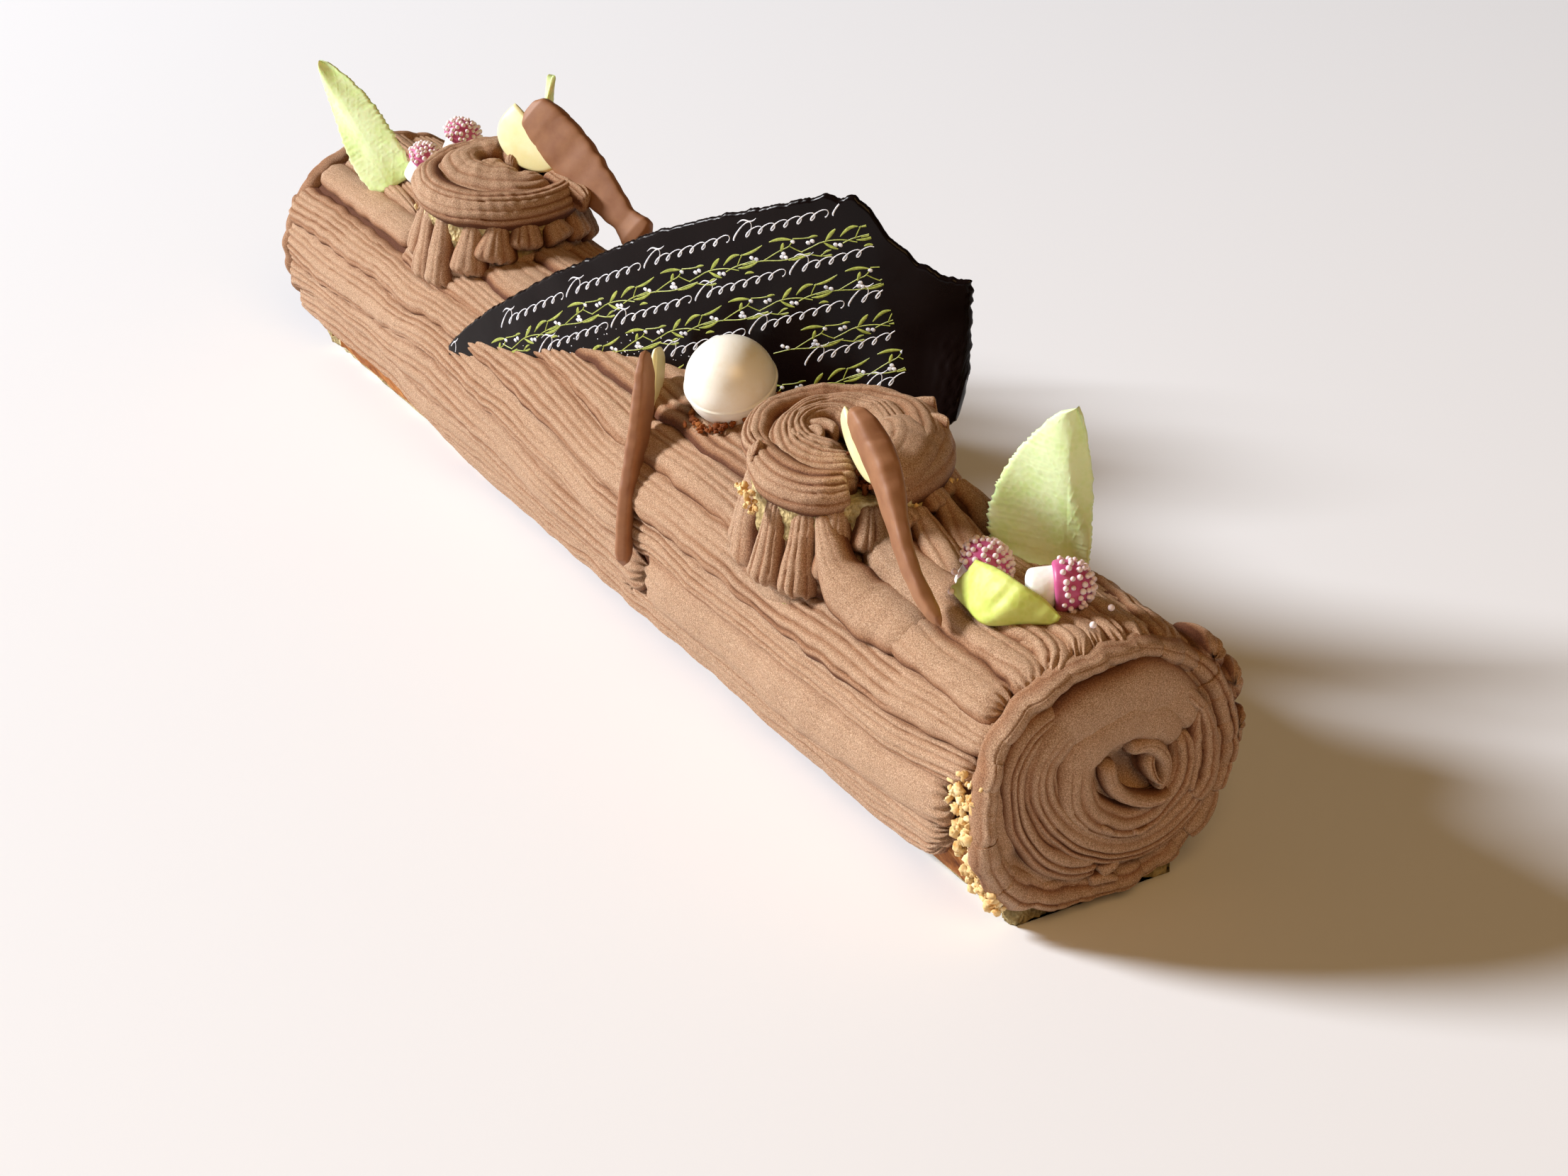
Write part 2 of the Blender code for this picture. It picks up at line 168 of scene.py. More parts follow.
def shades(tree, factor, *stops):
    """A colour ramp from (position, hex) stops."""
    node = add_node(tree, "ShaderNodeValToRGB", None, Fac=factor)
    ramp = node.color_ramp
    while len(ramp.elements) < len(stops):
        ramp.elements.new(0.5)
    for element, (at, code) in zip(ramp.elements, stops):
        element.position = at
        element.color = linear(code)
    return node.outputs["Color"]


def new_material(name, **sockets):
    made = bpy.data.materials.new(name)
    made.use_nodes = True
    shader = made.node_tree.nodes["Principled BSDF"]
    for key, value in sockets.items():
        shader.inputs[key.replace("_", " ")].default_value = value
    return made, made.node_tree, shader


def whipped_cream():
    """Chocolate buttercream, whipped and piped: matt, a little fatty, grainy from tiny air bubbles, with painted shade
    darkening it in its grooves, at its rope edges and under its strokes.
    """
    made, tree, shader = new_material(
        "whipped chocolate buttercream",
        Roughness=0.66, Specular_IOR_Level=0.3, Subsurface_Weight=0.04, Subsurface_Scale=0.0015,
    )
    place = add_node(tree, "ShaderNodeTexCoord").outputs["Object"]
    blotch = add_node(tree, "ShaderNodeTexNoise", None, Vector=place, Scale=60.0, Detail=3.0)
    grain = add_node(tree, "ShaderNodeTexNoise", None, Vector=place, Scale=3300.0, Detail=3.0, Roughness=0.8)
    base = shades(tree, blotch.outputs["Fac"], (0.30, "BC9676"), (0.70, "CAA486"))
    speck = shades(tree, grain.outputs["Fac"], (0.32, "76523A"), (0.50, "C29A78"), (0.67, "F4D6B8"))
    mixed = add_node(tree, "ShaderNodeMix", {"data_type": "RGBA"}, n0=0.85, n6=base, n7=speck)
    # painted shade: the per-vertex groove shade value multiplies the colour towards a dark brown, standing in for the
    # shade in grooves and creases
    groove = add_node(tree, "ShaderNodeAttribute", {"attribute_name": "groove"}).outputs["Fac"]
    shade = shades(tree, groove, (0.05, "FFFFFF"), (0.5, "D8C0AC"), (0.95, "8C6448"))
    deep = add_node(tree, "ShaderNodeMix", {"data_type": "RGBA", "blend_type": "MULTIPLY"}, n0=1.0, n6=mixed.outputs[2], n7=shade)
    tree.links.new(deep.outputs[2], shader.inputs["Base Color"])
    bump = add_node(tree, "ShaderNodeBump", None, Strength=0.9, Distance=0.0005, Height=grain.outputs["Fac"])
    tree.links.new(bump.outputs["Normal"], shader.inputs["Normal"])
    return made


def sponge_crumb():
    """Baked genoise: open pale-yellow crumb, matt and full of small holes."""
    made, tree, shader = new_material("genoise crumb", Roughness=0.9, Specular_IOR_Level=0.2)
    place = add_node(tree, "ShaderNodeTexCoord").outputs["Object"]
    holes = add_node(tree, "ShaderNodeTexVoronoi", None, Vector=place, Scale=900.0)
    patch = add_node(tree, "ShaderNodeTexNoise", None, Vector=place, Scale=160.0, Detail=4.0, Roughness=0.7)
    colour = shades(tree, patch.outputs["Fac"], (0.35, "8C774C"), (0.55, "C9B480"), (0.75, "F0E2B8"))
    tree.links.new(colour, shader.inputs["Base Color"])
    both = add_node(tree, "ShaderNodeMath", {"operation": "ADD"}, n0=holes.outputs["Distance"], n1=patch.outputs["Fac"])
    bump = add_node(tree, "ShaderNodeBump", None, Strength=0.8, Distance=0.0008, Height=both.outputs[0])
    tree.links.new(bump.outputs["Normal"], shader.inputs["Normal"])
    return made


def baked_skin(name, dark, middle, light):
    """The baked top skin of the sponge sheet, which lies outside on the roll: fine-pored and matt."""
    made, tree, shader = new_material(name, Roughness=0.8, Specular_IOR_Level=0.25)
    place = add_node(tree, "ShaderNodeTexCoord").outputs["Object"]
    patch = add_node(tree, "ShaderNodeTexNoise", None, Vector=place, Scale=220.0, Detail=5.0, Roughness=0.7)
    colour = shades(tree, patch.outputs["Fac"], (0.35, dark), (0.55, middle), (0.72, light))
    tree.links.new(colour, shader.inputs["Base Color"])
    bump = add_node(tree, "ShaderNodeBump", None, Strength=0.6, Distance=0.0006, Height=patch.outputs["Fac"])
    tree.links.new(bump.outputs["Normal"], shader.inputs["Normal"])
    return made


CREAM = whipped_cream()
CRUMB = sponge_crumb()
SKIN = baked_skin("browned genoise skin", "7A3F14", "A9672B", "CF9450")

# ---- the coat's outline ----

turns = np.linspace(0, 2 * math.pi, 2881)
outline_y = COAT_HALF_WIDTH * np.cos(turns)
outline_z = WIDEST + np.where(np.sin(turns) > 0, COAT_UP, COAT_DOWN) * np.sin(turns)
spent = np.concatenate([[0], np.cumsum(np.hypot(np.diff(outline_y), np.diff(outline_z)))])
spent -= spent[720]  # zero on top of the log, growing towards the front
HEM = float(np.interp(-COAT_HEM, -outline_z[720:2161], spent[720:2161]))


def on_coat(x, down, rise=0.0):
    """Points and outward directions on the coat: x along it, `down` its face from the top line towards the front."""
    x, down, rise = np.broadcast_arrays(np.asarray(x, float), np.asarray(down, float), np.asarray(rise, float))
    away = np.abs(down)
    y = np.interp(away, spent[720:2161], outline_y[720:2161])
    z = np.interp(away, spent[720:2161], outline_z[720:2161])
    step = 0.0004
    dy = np.interp(away + step, spent[720:2161], outline_y[720:2161]) - y
    dz = np.interp(away + step, spent[720:2161], outline_z[720:2161]) - z
    side = np.where(down < 0, -1.0, 1.0)
    out = unit(np.stack([np.zeros_like(dy), side * dz, -dy], axis=-1))
    points = np.stack([x, side * y + MIDDLE_Y, z], axis=-1)
    return points + out * rise[..., None], out


# ---- piping ----

FACE_SHARE = 0.80  # share of a stroke's rim that is its ridged face


def stroke(bm, path, out, half_width, height, ridges=6, ridge=0.5 * MM, lean=0.0, ends=(6 * MM, 6 * MM),
           rim=50, sunk=2.0 * MM, seed=0, lumps=0.35 * MM, smooth=0.0, crown=0.52, ragged=0.0, shade_strength=0.7, edge=1.0):
    """One stroke of a star nozzle along a path: a crowned rope, ridged on its face and flat underneath."""
    groove = bm.verts.layers.float.get("groove") or bm.verts.layers.float.new("groove")
    stations = len(path)
    made, i, j = new_grid(bm, stations - 1, rim)
    gone = np.concatenate([[0], np.cumsum(np.linalg.norm(np.diff(path, axis=0), axis=1))])
    ahead = unit(np.gradient(path, axis=0))
    out = np.broadcast_to(out, path.shape)
    out = unit(out - ahead * (out * ahead).sum(1, keepdims=True))
    across = np.cross(ahead, out)
    share = j / rim
    face = share <= FACE_SHARE
    s = np.where(face, -1 + 2 * share / FACE_SHARE, 1 - 2 * (share - FACE_SHARE) / (1 - FACE_SHARE))
    s = np.clip(s, -1, 1)
    taper = np.ones(len(i))
    for reach, left in zip(ends, (gone, gone[-1] - gone)):
        if reach > 0:
            left = left[i] - ragged * (1 + wander(seed + 8, 0.5, s)) * (left[i] < 3 * reach)
            taper = np.minimum(taper, np.sqrt(np.clip(1 - (1 - np.clip(left / reach, 0, 1)) ** 2, 0, 1)))
    half_width, height, ridge, smooth = (
        np.broadcast_to(np.asarray(v, float), stations) for v in (half_width, height, ridge, smooth)
    )
    drift = 0.35 * wander(seed + 1, 0.060, gone)
    dome = (1 - np.abs(s) ** 2.6) ** crown
    phase = ridges * (s + 1) / 2 + drift[i] + 0.12 * np.sin(5.1 * s + seed)
    depth = np.clip(0.8 + 0.75 * wander(seed + 5, 2.3, 1.7 * np.floor(phase), 22 * gone[i]), 0.12, 1.6)
    wave = np.abs(np.sin(math.pi * phase)) ** 0.75
    plain = 1 - (1 - smooth[i]) * ease(taper, 0.45, 0.95)
    comb = (wave - 1) * depth * (1 - plain)
    up = height[i] * dome + ridge[i] * comb * (1 - s**6)
    up = np.where(face, up, -sunk * (1 - s**2) ** 0.5) + lean * s * half_width[i]
    body = path[i]
    where = (body[:, 0] + 0.5 * s * half_width[i], body[:, 1], body[:, 2])
    noise = lumps * (wander(seed + 2, 0.011, *where) + 0.45 * wander(seed + 4, 0.0035, *where))
    up = up * taper**0.8 + np.where(face, noise * taper, 0)
    wide = s * half_width[i] * taper**0.4 * (1 + 0.07 * wander(seed + 3, 0.014, gone)[i])
    place_vertices(made, body + across[i] * wide[:, None] + out[i] * up[:, None])
    # painted shade: darker between the ridges and at the stroke's edges where shade falls, scaled by the painted-shade
    # strength and edge arguments; the hidden underside gets a fixed painted shade
    dark = np.clip((1 - wave) * (1 - plain) * (depth - 0.1), 0, 1) * shade_strength + edge * np.abs(s) ** 6
    for vertex, value in zip(made, np.where(face, np.clip(dark, 0, 1), 0.35)):
        vertex[groove] = value


# Creases between the ropes on the front, as (x, down) in millimetres
TOP_CREASE = [(-215, 13), (-150, 14), (-125, 21), (0, 22.5), (80, 23), (140, 19), (215, 18)]
CREASE_1 = [(-215, 33), (-85, 33), (-60, 32), (-25, 31), (0, 33.5), (20, 36.5), (50, 36), (130, 35.5), (180, 35), (215, 34)]
CREASE_2 = [(-195, 45.5), (-150, 44.5), (-130, 43.5), (-115, 45.5), (-95, 42.5), (-60, 43), (0, 47), (20, 49), (40, 50),
            (80, 49.5), (110, 50), (150, 50), (180, 47), (200, 44), (215, 42)]
CREASE_3 = [(-205, 58), (-180, 60), (-160, 58), (-130, 57), (-110, 54.5), (-88, 53.5), (-60, 55.5), (-20, 58.5), (0, 60.5),
            (30, 63), (50, 61), (110, 60.5), (150, 59.5), (170, 59), (185, 57), (195, 54.5), (205, 52)]
CREASE_4 = [(-205, 71), (-180, 67.5), (-150, 67), (-110, 69), (-60, 70), (-30, 73.5), (10, 76), (45, 77), (60, 75), (80, 74.5),
            (120, 76), (135, 76), (150, 73.5), (170, 72), (180, 70.5), (190, 68.5), (200, 66)]
CREASE_5 = [(-215, 80), (-130, 80), (-105, 81.5), (-90, 82.5), (160, 82.5), (175, 80), (190, 77), (200, 73)]
HEM_LINE = [(-215, 80.5), (-130, 81), (-105, 85), (-90, 88), (-75, 93.6), (165, 93.6), (175, 90), (185, 84), (195, 76), (204, 70)]
CHANNEL = [(-215, 29.3), (-130, 29.3)]
SHOULDER = [(-215, 19.4), (-130, 19.4)]

# Upper crease, lower crease, first x, last x, ridges, how smooth, how proud, how ragged at its ends
FRONT_ROPES = [
    (TOP_CREASE, SHOULDER, -199, -138, 3, 0.0, 0.6, 0.3), (SHOULDER, CHANNEL, -201, -128, 5, 0.85, 1.4, 0.3),
    (TOP_CREASE, CREASE_1, -130, 132, 6, 0.1, 0.0, 0.0), (CREASE_1, CREASE_2, -210, 206, 6, 0.0, 0.3, 0.8),
    (CREASE_2, CREASE_3, -209, 202.5, 6, 0.0, 0.0, 1.0),
    (CREASE_3, CREASE_4, -210, 44, 5, 0.0, 0.2, 1.5), (CREASE_3, CREASE_4, 45, 196, 5, 0.8, 1.1, 1.6),
    (CREASE_4, CREASE_5, -208, 33, 5, 0.0, 0.0, 1.2), (CREASE_4, CREASE_5, 30, 193, 5, 0.0, 0.3, 1.4),
    (CREASE_5, HEM_LINE, -126, 186, 5, 0.0, 0.2, 1.0),
]
# Shorter strokes that end at the near spiral's ring: (x, down) rows, half width, ridges, how smooth, how proud
NEAR_STROKES = [
    ([(125, 25.7), (141.5, 30.2), (160, 30.6), (174.5, 30.7), (186.3, 30.6), (196.5, 31.3), (202.5, 30.6)], 6.2, 3, 0.6, 1.5),
    ([(160, 19.6), (181, 20), (192.8, 20.1), (200.5, 21), (205.4, 23.4)], 5.2, 3, 0.5, 1.4),
    ([(178, 14.2), (187, 13.0), (197, 12.1), (203.0, 14.0), (206.0, 17.6)], 4.6, 3, 0.1, 1.5),
    ([(180, 8.0), (192.8, 6.3), (203.0, 7.2), (206.4, 9.6)], 3.7, 2, 0.3, 1.7),
    ([(178, 3.6), (190.2, 3.1), (201.0, 2.1), (206.4, 3.6)], 3.4, 2, 0.6, 1.5),
    ([(176, -2.0), (190.9, -2.5), (203.4, -3.3), (206.8, -3.1)], 3.4, 2, 0.1, 1.4),
    ([(170, -9.9), (184.6, -9.9), (206.8, -9)], 4.2, 2, 0.1, 1.4),
    ([(160, -26.4), (185, -22.4), (206.8, -18.2)], 5.6, 3, 0.0, 1.4),
    ([(168, -37), (190, -35.5), (206, -31.0)], 6.0, 4, 0.0, 1.4), ([(193, -33), (201, -32), (209.5, -31)], 5.6, 3, 0.2, 4.4),
    ([(170, -48.5), (190, -46.5), (205, -43.0)], 6.2, 4, 0.0, 1.4), ([(191, -45), (200, -44), (209, -43)], 5.8, 3, 0.2, 5.0),
    ([(172, -60), (190, -57.5), (205, -55.0)], 6.0, 4, 0.0, 1.4), ([(192, -58), (200, -57), (208.5, -56)], 5.6, 3, 0.2, 4.6),
]


def track(rows, x):
    """Where a crease runs at x, rounded off between its rows."""
    steps = np.linspace(-11, 11, 9)
    return np.mean([np.interp(x / MM + step, *zip(*rows)) for step in steps], axis=0) * MM


def rope(bm, high, low, x, ridges, smooth, proud, ragged, seed, rim=48):
    """A rope laid along the coat between two creases."""
    side = 1 if np.mean(high + low) > -0.010 else -1
    tall = 4.6 * MM
    middle = (high + low) / 2 + 0.35 * MM * wander(40 + seed, 0.045, x)
    half = (low - high) / 2 * 1.16 * (1 + 0.04 * wander(41 + seed, 0.060, x))
    rise = proud * MM - tall + 0.55 * MM * wander(70 + seed, 0.070, x)
    path, out = on_coat(x, middle, rise)
    plain = np.clip(smooth + 0.35 * ease(wander(42 + seed, 0.050, x), 0.45, 0.9), 0, 1)
    stroke(
        bm, path, out, half, tall, ridges=ridges, ridge=0.85 * MM, lean=0.17 * side, rim=rim,
        ends=(4.5 * MM, 4.5 * MM), seed=100 + 7 * seed, smooth=plain, ragged=ragged * MM, lumps=0.24 * MM,
    )


def coat_ropes():
    """The ropes along the log, hem to hem over the top: the front by its creases, the rest at an even pitch."""
    for name, batch in (("front", FRONT_ROPES[:5]), ("flank", FRONT_ROPES[5:])):
        bm = bmesh.new()
        for k, (upper, lower, first, last, ridges, smooth, proud, ragged) in enumerate(batch):
            x = np.linspace(first, last, max(40, int((last - first) / 1.6))) * MM
            seed = k + (20 if name == "flank" else 0)
            rope(bm, track(upper, x), track(lower, x), x, ridges, smooth, proud, ragged, seed)
        finish_piece(f"cream_ropes_{name}", bm, CREAM, ["cream_coat"])
    creases = np.linspace(15.5, -HEM / MM, 10)
    for name, batch in (("top", range(0, 4)), ("back", range(4, 9))):
        bm = bmesh.new()
        for k in batch:
            x = np.linspace(-209 + 1.5 * math.sin(5 * k), 205 + 1.5 * math.sin(7 * k), 230) * MM
            high, low = (c * MM + (2.2 if k > 0 or c < 15 else 0) * MM * wander(11, 0.150, x, 0.35 * MM * c + 0 * x)
                         for c in (creases[k], creases[k + 1]))
            if k == 0:
                high = track(TOP_CREASE, x)
            rope(bm, low, high, x, 6 - k % 2, 0.0, -0.2, 0.8, 50 + k, rim=44)
        finish_piece(f"cream_ropes_{name}", bm, CREAM, ["cream_coat"])
    bm = bmesh.new()
    for k, (rows, half, ridges, smooth, proud) in enumerate(NEAR_STROKES):
        rows = through(rows, 90, 2) * MM
        tall = 4.4 * MM
        path, out = on_coat(rows[:, 0], rows[:, 1], proud * MM - tall)
        drop = ease(rows[:, 0], 0.2050, 0.2095) * (proud < 3)
        path = path - out * (2.2 * MM * drop)[:, None]
        stroke(
            bm, path, out, half * MM, tall, ridges=ridges, ridge=1.0 * MM, lean=0.12, rim=40, seed=600 + 11 * k,
            ends=(9 * MM, 4.0 * MM), smooth=smooth, ragged=0.8 * MM, lumps=0.3 * MM,
        )
    finish_piece("cream_near_strokes", bm, CREAM, ["cream_coat"])


def coat_bed():
    """The layer of cream under the ropes: a closed band from hem to hem, hollow underneath."""
    bm = bmesh.new()
    groove = bm.verts.layers.float.new("groove")
    made, i, j = new_grid(bm, 120, 96)
    x = -HALF_LENGTH - 0.002 + (2 * HALF_LENGTH - 0.003) * i / 120
    half = j <= 72
    hem = track(HEM_LINE, x) * 0.985
    over = hem + HEM * 0.985
    down = np.where(half, -HEM * 0.985 + over * j / 72, hem - over * (j - 72) / 24)
    rise = np.where(half, -3.4 * MM, -6.0 * MM)
    points, _ = on_coat(x, down, rise)
    place_vertices(made, points)
    # painted shade: the whole bed takes the darkest painted shade, as it shows only in the shaded gaps between the
    # ropes
    for vertex in made:
        vertex[groove] = 1.0
    bmesh.ops.remove_doubles(bm, verts=bm.verts, dist=1e-6)
    bmesh.ops.holes_fill(bm, edges=[edge for edge in bm.edges if edge.is_boundary])
    finish_piece("cream_bed", bm, CREAM, ["cream_coat"])


# ---- ends of the log ----

# The outer ring's middle, its top, half width and how smooth it is; millimetres across the end
RING = [
    (30.4, -14.5, 6.0, 4.2, 0.2), (32.6, -7.0, 6.4, 4.8, 0.0), (32.4, 2.0, 6.8, 4.9, 0.0), (29.8, 11.0, 6.6, 4.8, 0.0),
    (25.4, 19.4, 6.0, 4.6, 0.2), (18.6, 25.8, 5.4, 4.4, 0.5), (9.0, 30.4, 5.4, 4.1, 0.8), (-1.0, 31.4, 5.4, 4.0, 0.9),
    (-10.5, 30.0, 5.2, 4.0, 0.9), (-20.0, 26.4, 5.0, 3.9, 0.9), (-27.6, 20.4, 5.0, 3.8, 0.85), (-32.4, 12.2, 5.2, 3.7, 0.8),
    (-34.2, 3.0, 5.6, 3.7, 0.8), (-34.2, -6.5, 5.6, 4.1, 0.75), (-31.8, -15.5, 5.4, 4.7, 0.7), (-25.4, -23.2, 5.2, 5.0, 0.45),
    (-15.6, -28.2, 5.2, 4.9, 0.3), (-4.6, -30.4, 5.2, 4.4, 0.3), (6.5, -30.2, 5.4, 4.2, 0.4), (17.0, -27.0, 5.6, 4.4, 0.5),
    (25.0, -21.4, 5.8, 4.6, 0.4), (29.8, -15.6, 5.9, 4.4, 0.3), (31.8, -9.6, 5.9, 4.0, 0.3),
]
# The wound rope and what lies on it: middle, top, half width, how smooth; then ridges, height, ends and lean
WINDING = [
    ([(-3.0, -21.6, 7.0, 5.4, 0.0), (-10.0, -20.4, 7.0, 5.2, 0.0), (-18.0, -15.2, 7.0, 4.6, 0.0), (-24.2, -6.8, 7.0, 3.8, 0.0),
      (-27.2, 2.0, 7.0, 3.3, 0.0), (-27.4, 10.0, 7.0, 3.4, 0.1), (-22.8, 17.4, 6.8, 3.8, 0.3), (-14.0, 21.0, 6.0, 3.4, 0.8),
      (-5.0, 21.6, 4.4, 2.6, 1.0)], 4, 5.0, (1.6, 7), 1.2),
    ([(27.0, 6.0, 7.4, 3.6, 0.0), (26.4, -5.0, 7.8, 4.4, 0.0), (20.4, -14.6, 8.0, 5.2, 0.0), (10.0, -19.4, 8.2, 5.2, 0.0),
      (0.0, -18.2, 8.4, 5.2, 0.0), (-9.4, -13.4, 8.4, 5.0, 0.0), (-16.6, -6.4, 8.4, 4.8, 0.0), (-21.0, 1.6, 8.4, 4.6, 0.1),
      (-22.0, 9.6, 8.6, 4.6, 0.4), (-17.0, 16.6, 8.8, 4.8, 0.8), (-8.0, 20.0, 8.6, 4.4, 1.0)], 5, 5.4, (5, 8), 0.3),
    ([(18.6, 8.0, 8.4, 3.6, 0.2), (19.4, -1.0, 8.8, 4.2, 0.0), (14.8, -9.0, 9.2, 4.6, 0.0), (6.0, -12.4, 9.6, 4.8, 0.1),
      (-3.0, -10.0, 9.6, 4.8, 0.2), (-9.8, -4.4, 9.6, 5.0, 0.4), (-12.6, 2.6, 9.6, 5.2, 0.6), (-11.4, 9.6, 9.8, 5.4, 0.9),
      (-4.6, 14.6, 9.8, 5.6, 1.0), (4.0, 15.6, 9.8, 5.8, 1.0), (11.6, 12.4, 9.6, 5.4, 1.0), (15.8, 5.6, 9.0, 4.0, 0.8)],
     4, 5.8, (4, 6), 0.3),
    ([(-22.0, 11.0, 6.6, 3.6, 0.8), (-14.0, 18.4, 8.6, 6.0, 0.95), (-1.0, 22.0, 9.4, 7.0, 1.0), (10.0, 20.6, 9.4, 7.0, 1.0),
      (17.6, 14.8, 9.2, 5.2, 0.9), (21.4, 8.0, 8.6, 3.0, 0.7)], 5, 5.4, (7, 7), 0.0),
    ([(13.4, 21.4, 8.6, 2.4, 0.7), (18.4, 18.0, 10.0, 2.2, 0.6), (21.8, 14.2, 11.2, 1.3, 0.5)], 2, 4.2, (4, 1.2), 0.0),
    ([(21.4, 16.0, 9.6, 1.4, 0.5), (24.4, 8.0, 9.8, 2.3, 0.2), (26.0, -0.5, 9.8, 2.7, 0.2), (25.8, -7.4, 9.6, 2.8, 0.3),
      (22.6, -11.8, 9.2, 2.6, 0.5)], 2, 3.8, (2.0, 2.0), -0.5),
    ([(20.6, 14.0, 9.2, 0.9, 0.5), (21.2, 5.0, 9.4, 1.5, 0.3), (22.0, -3.0, 9.4, 1.4, 0.2), (21.0, -9.0, 9.2, 1.2, 0.3)],
     1, 3.0, (1.4, 2.0), 0.0),
    ([(-4.0, 6.4, 9.4, 2.4, 0.8), (-3.2, 1.8, 9.6, 2.2, 0.8), (-0.4, -2.6, 9.9, 1.9, 0.8), (4.0, -5.6, 10.3, 1.6, 0.7),
      (9.0, -6.8, 10.9, 1.5, 0.6), (13.8, -5.4, 11.6, 0.7, 0.5)], 2, 4.4, (3, 0.8), 0.5),
    ([(2.0, 8.2, 9.4, 2.0, 0.9), (8.0, 7.4, 9.8, 2.2, 0.8), (11.6, 3.4, 10.2, 2.0, 0.6), (12.2, -1.4, 9.8, 1.8, 0.5),
      (11.0, -4.8, 9.0, 1.4, 0.5)], 2, 5.4, (2, 1.5), 0.2),
    ([(9.0, 5.2, 7.6, 1.8, 0.6), (8.2, 1.6, 9.2, 1.8, 0.4), (9.4, -1.4, 10.6, 1.2, 0.4), (11.6, -3.0, 11.4, 0.6, 0.6)],
     2, 5.0, (1.4, 0.8), 0.0),
    ([(-6.0, -9.6, 9.9, 0.9, 1.0), (-3.0, -12.0, 10.3, 0.6, 1.0), (-2.0, -13.2, 10.2, 0.3, 1.0)], 1, 1.4, (2, 0.6), 0.0),
    ([(3.0, -13.6, 10.0, 0.8, 1.0), (6.0, -13.9, 10.3, 0.6, 1.0), (7.4, -13.5, 10.0, 0.3, 1.0)], 1, 1.4, (1.4, 0.6), 0.0),
    ([(-5.0, -27.6, 5.6, 1.8, 0.4), (-0.6, -27.4, 6.8, 1.5, 0.4), (2.4, -28.6, 6.4, 0.6, 0.4)], 1, 2.6, (2, 0.8), 0.0),
    ([(-2.8, -25.4, 6.4, 2.2, 0.2), (0.6, -23.8, 7.0, 1.5, 0.3), (1.8, -21.6, 6.6, 0.8, 0.3)], 1, 2.6, (2, 0.8), 0.0),
]
HOLES = [(8.6, 27.6, 1.7, 1.2), (4.4, 26.0, 2.6, 0.9), (-0.4, 25.6, 1.8, 0.8), (-4.2, 25.2, 1.6, 1.1), (-12.6, 24.9, 2.2, 1.0),
         (11.8, 31.0, 1.0, 0.8)]


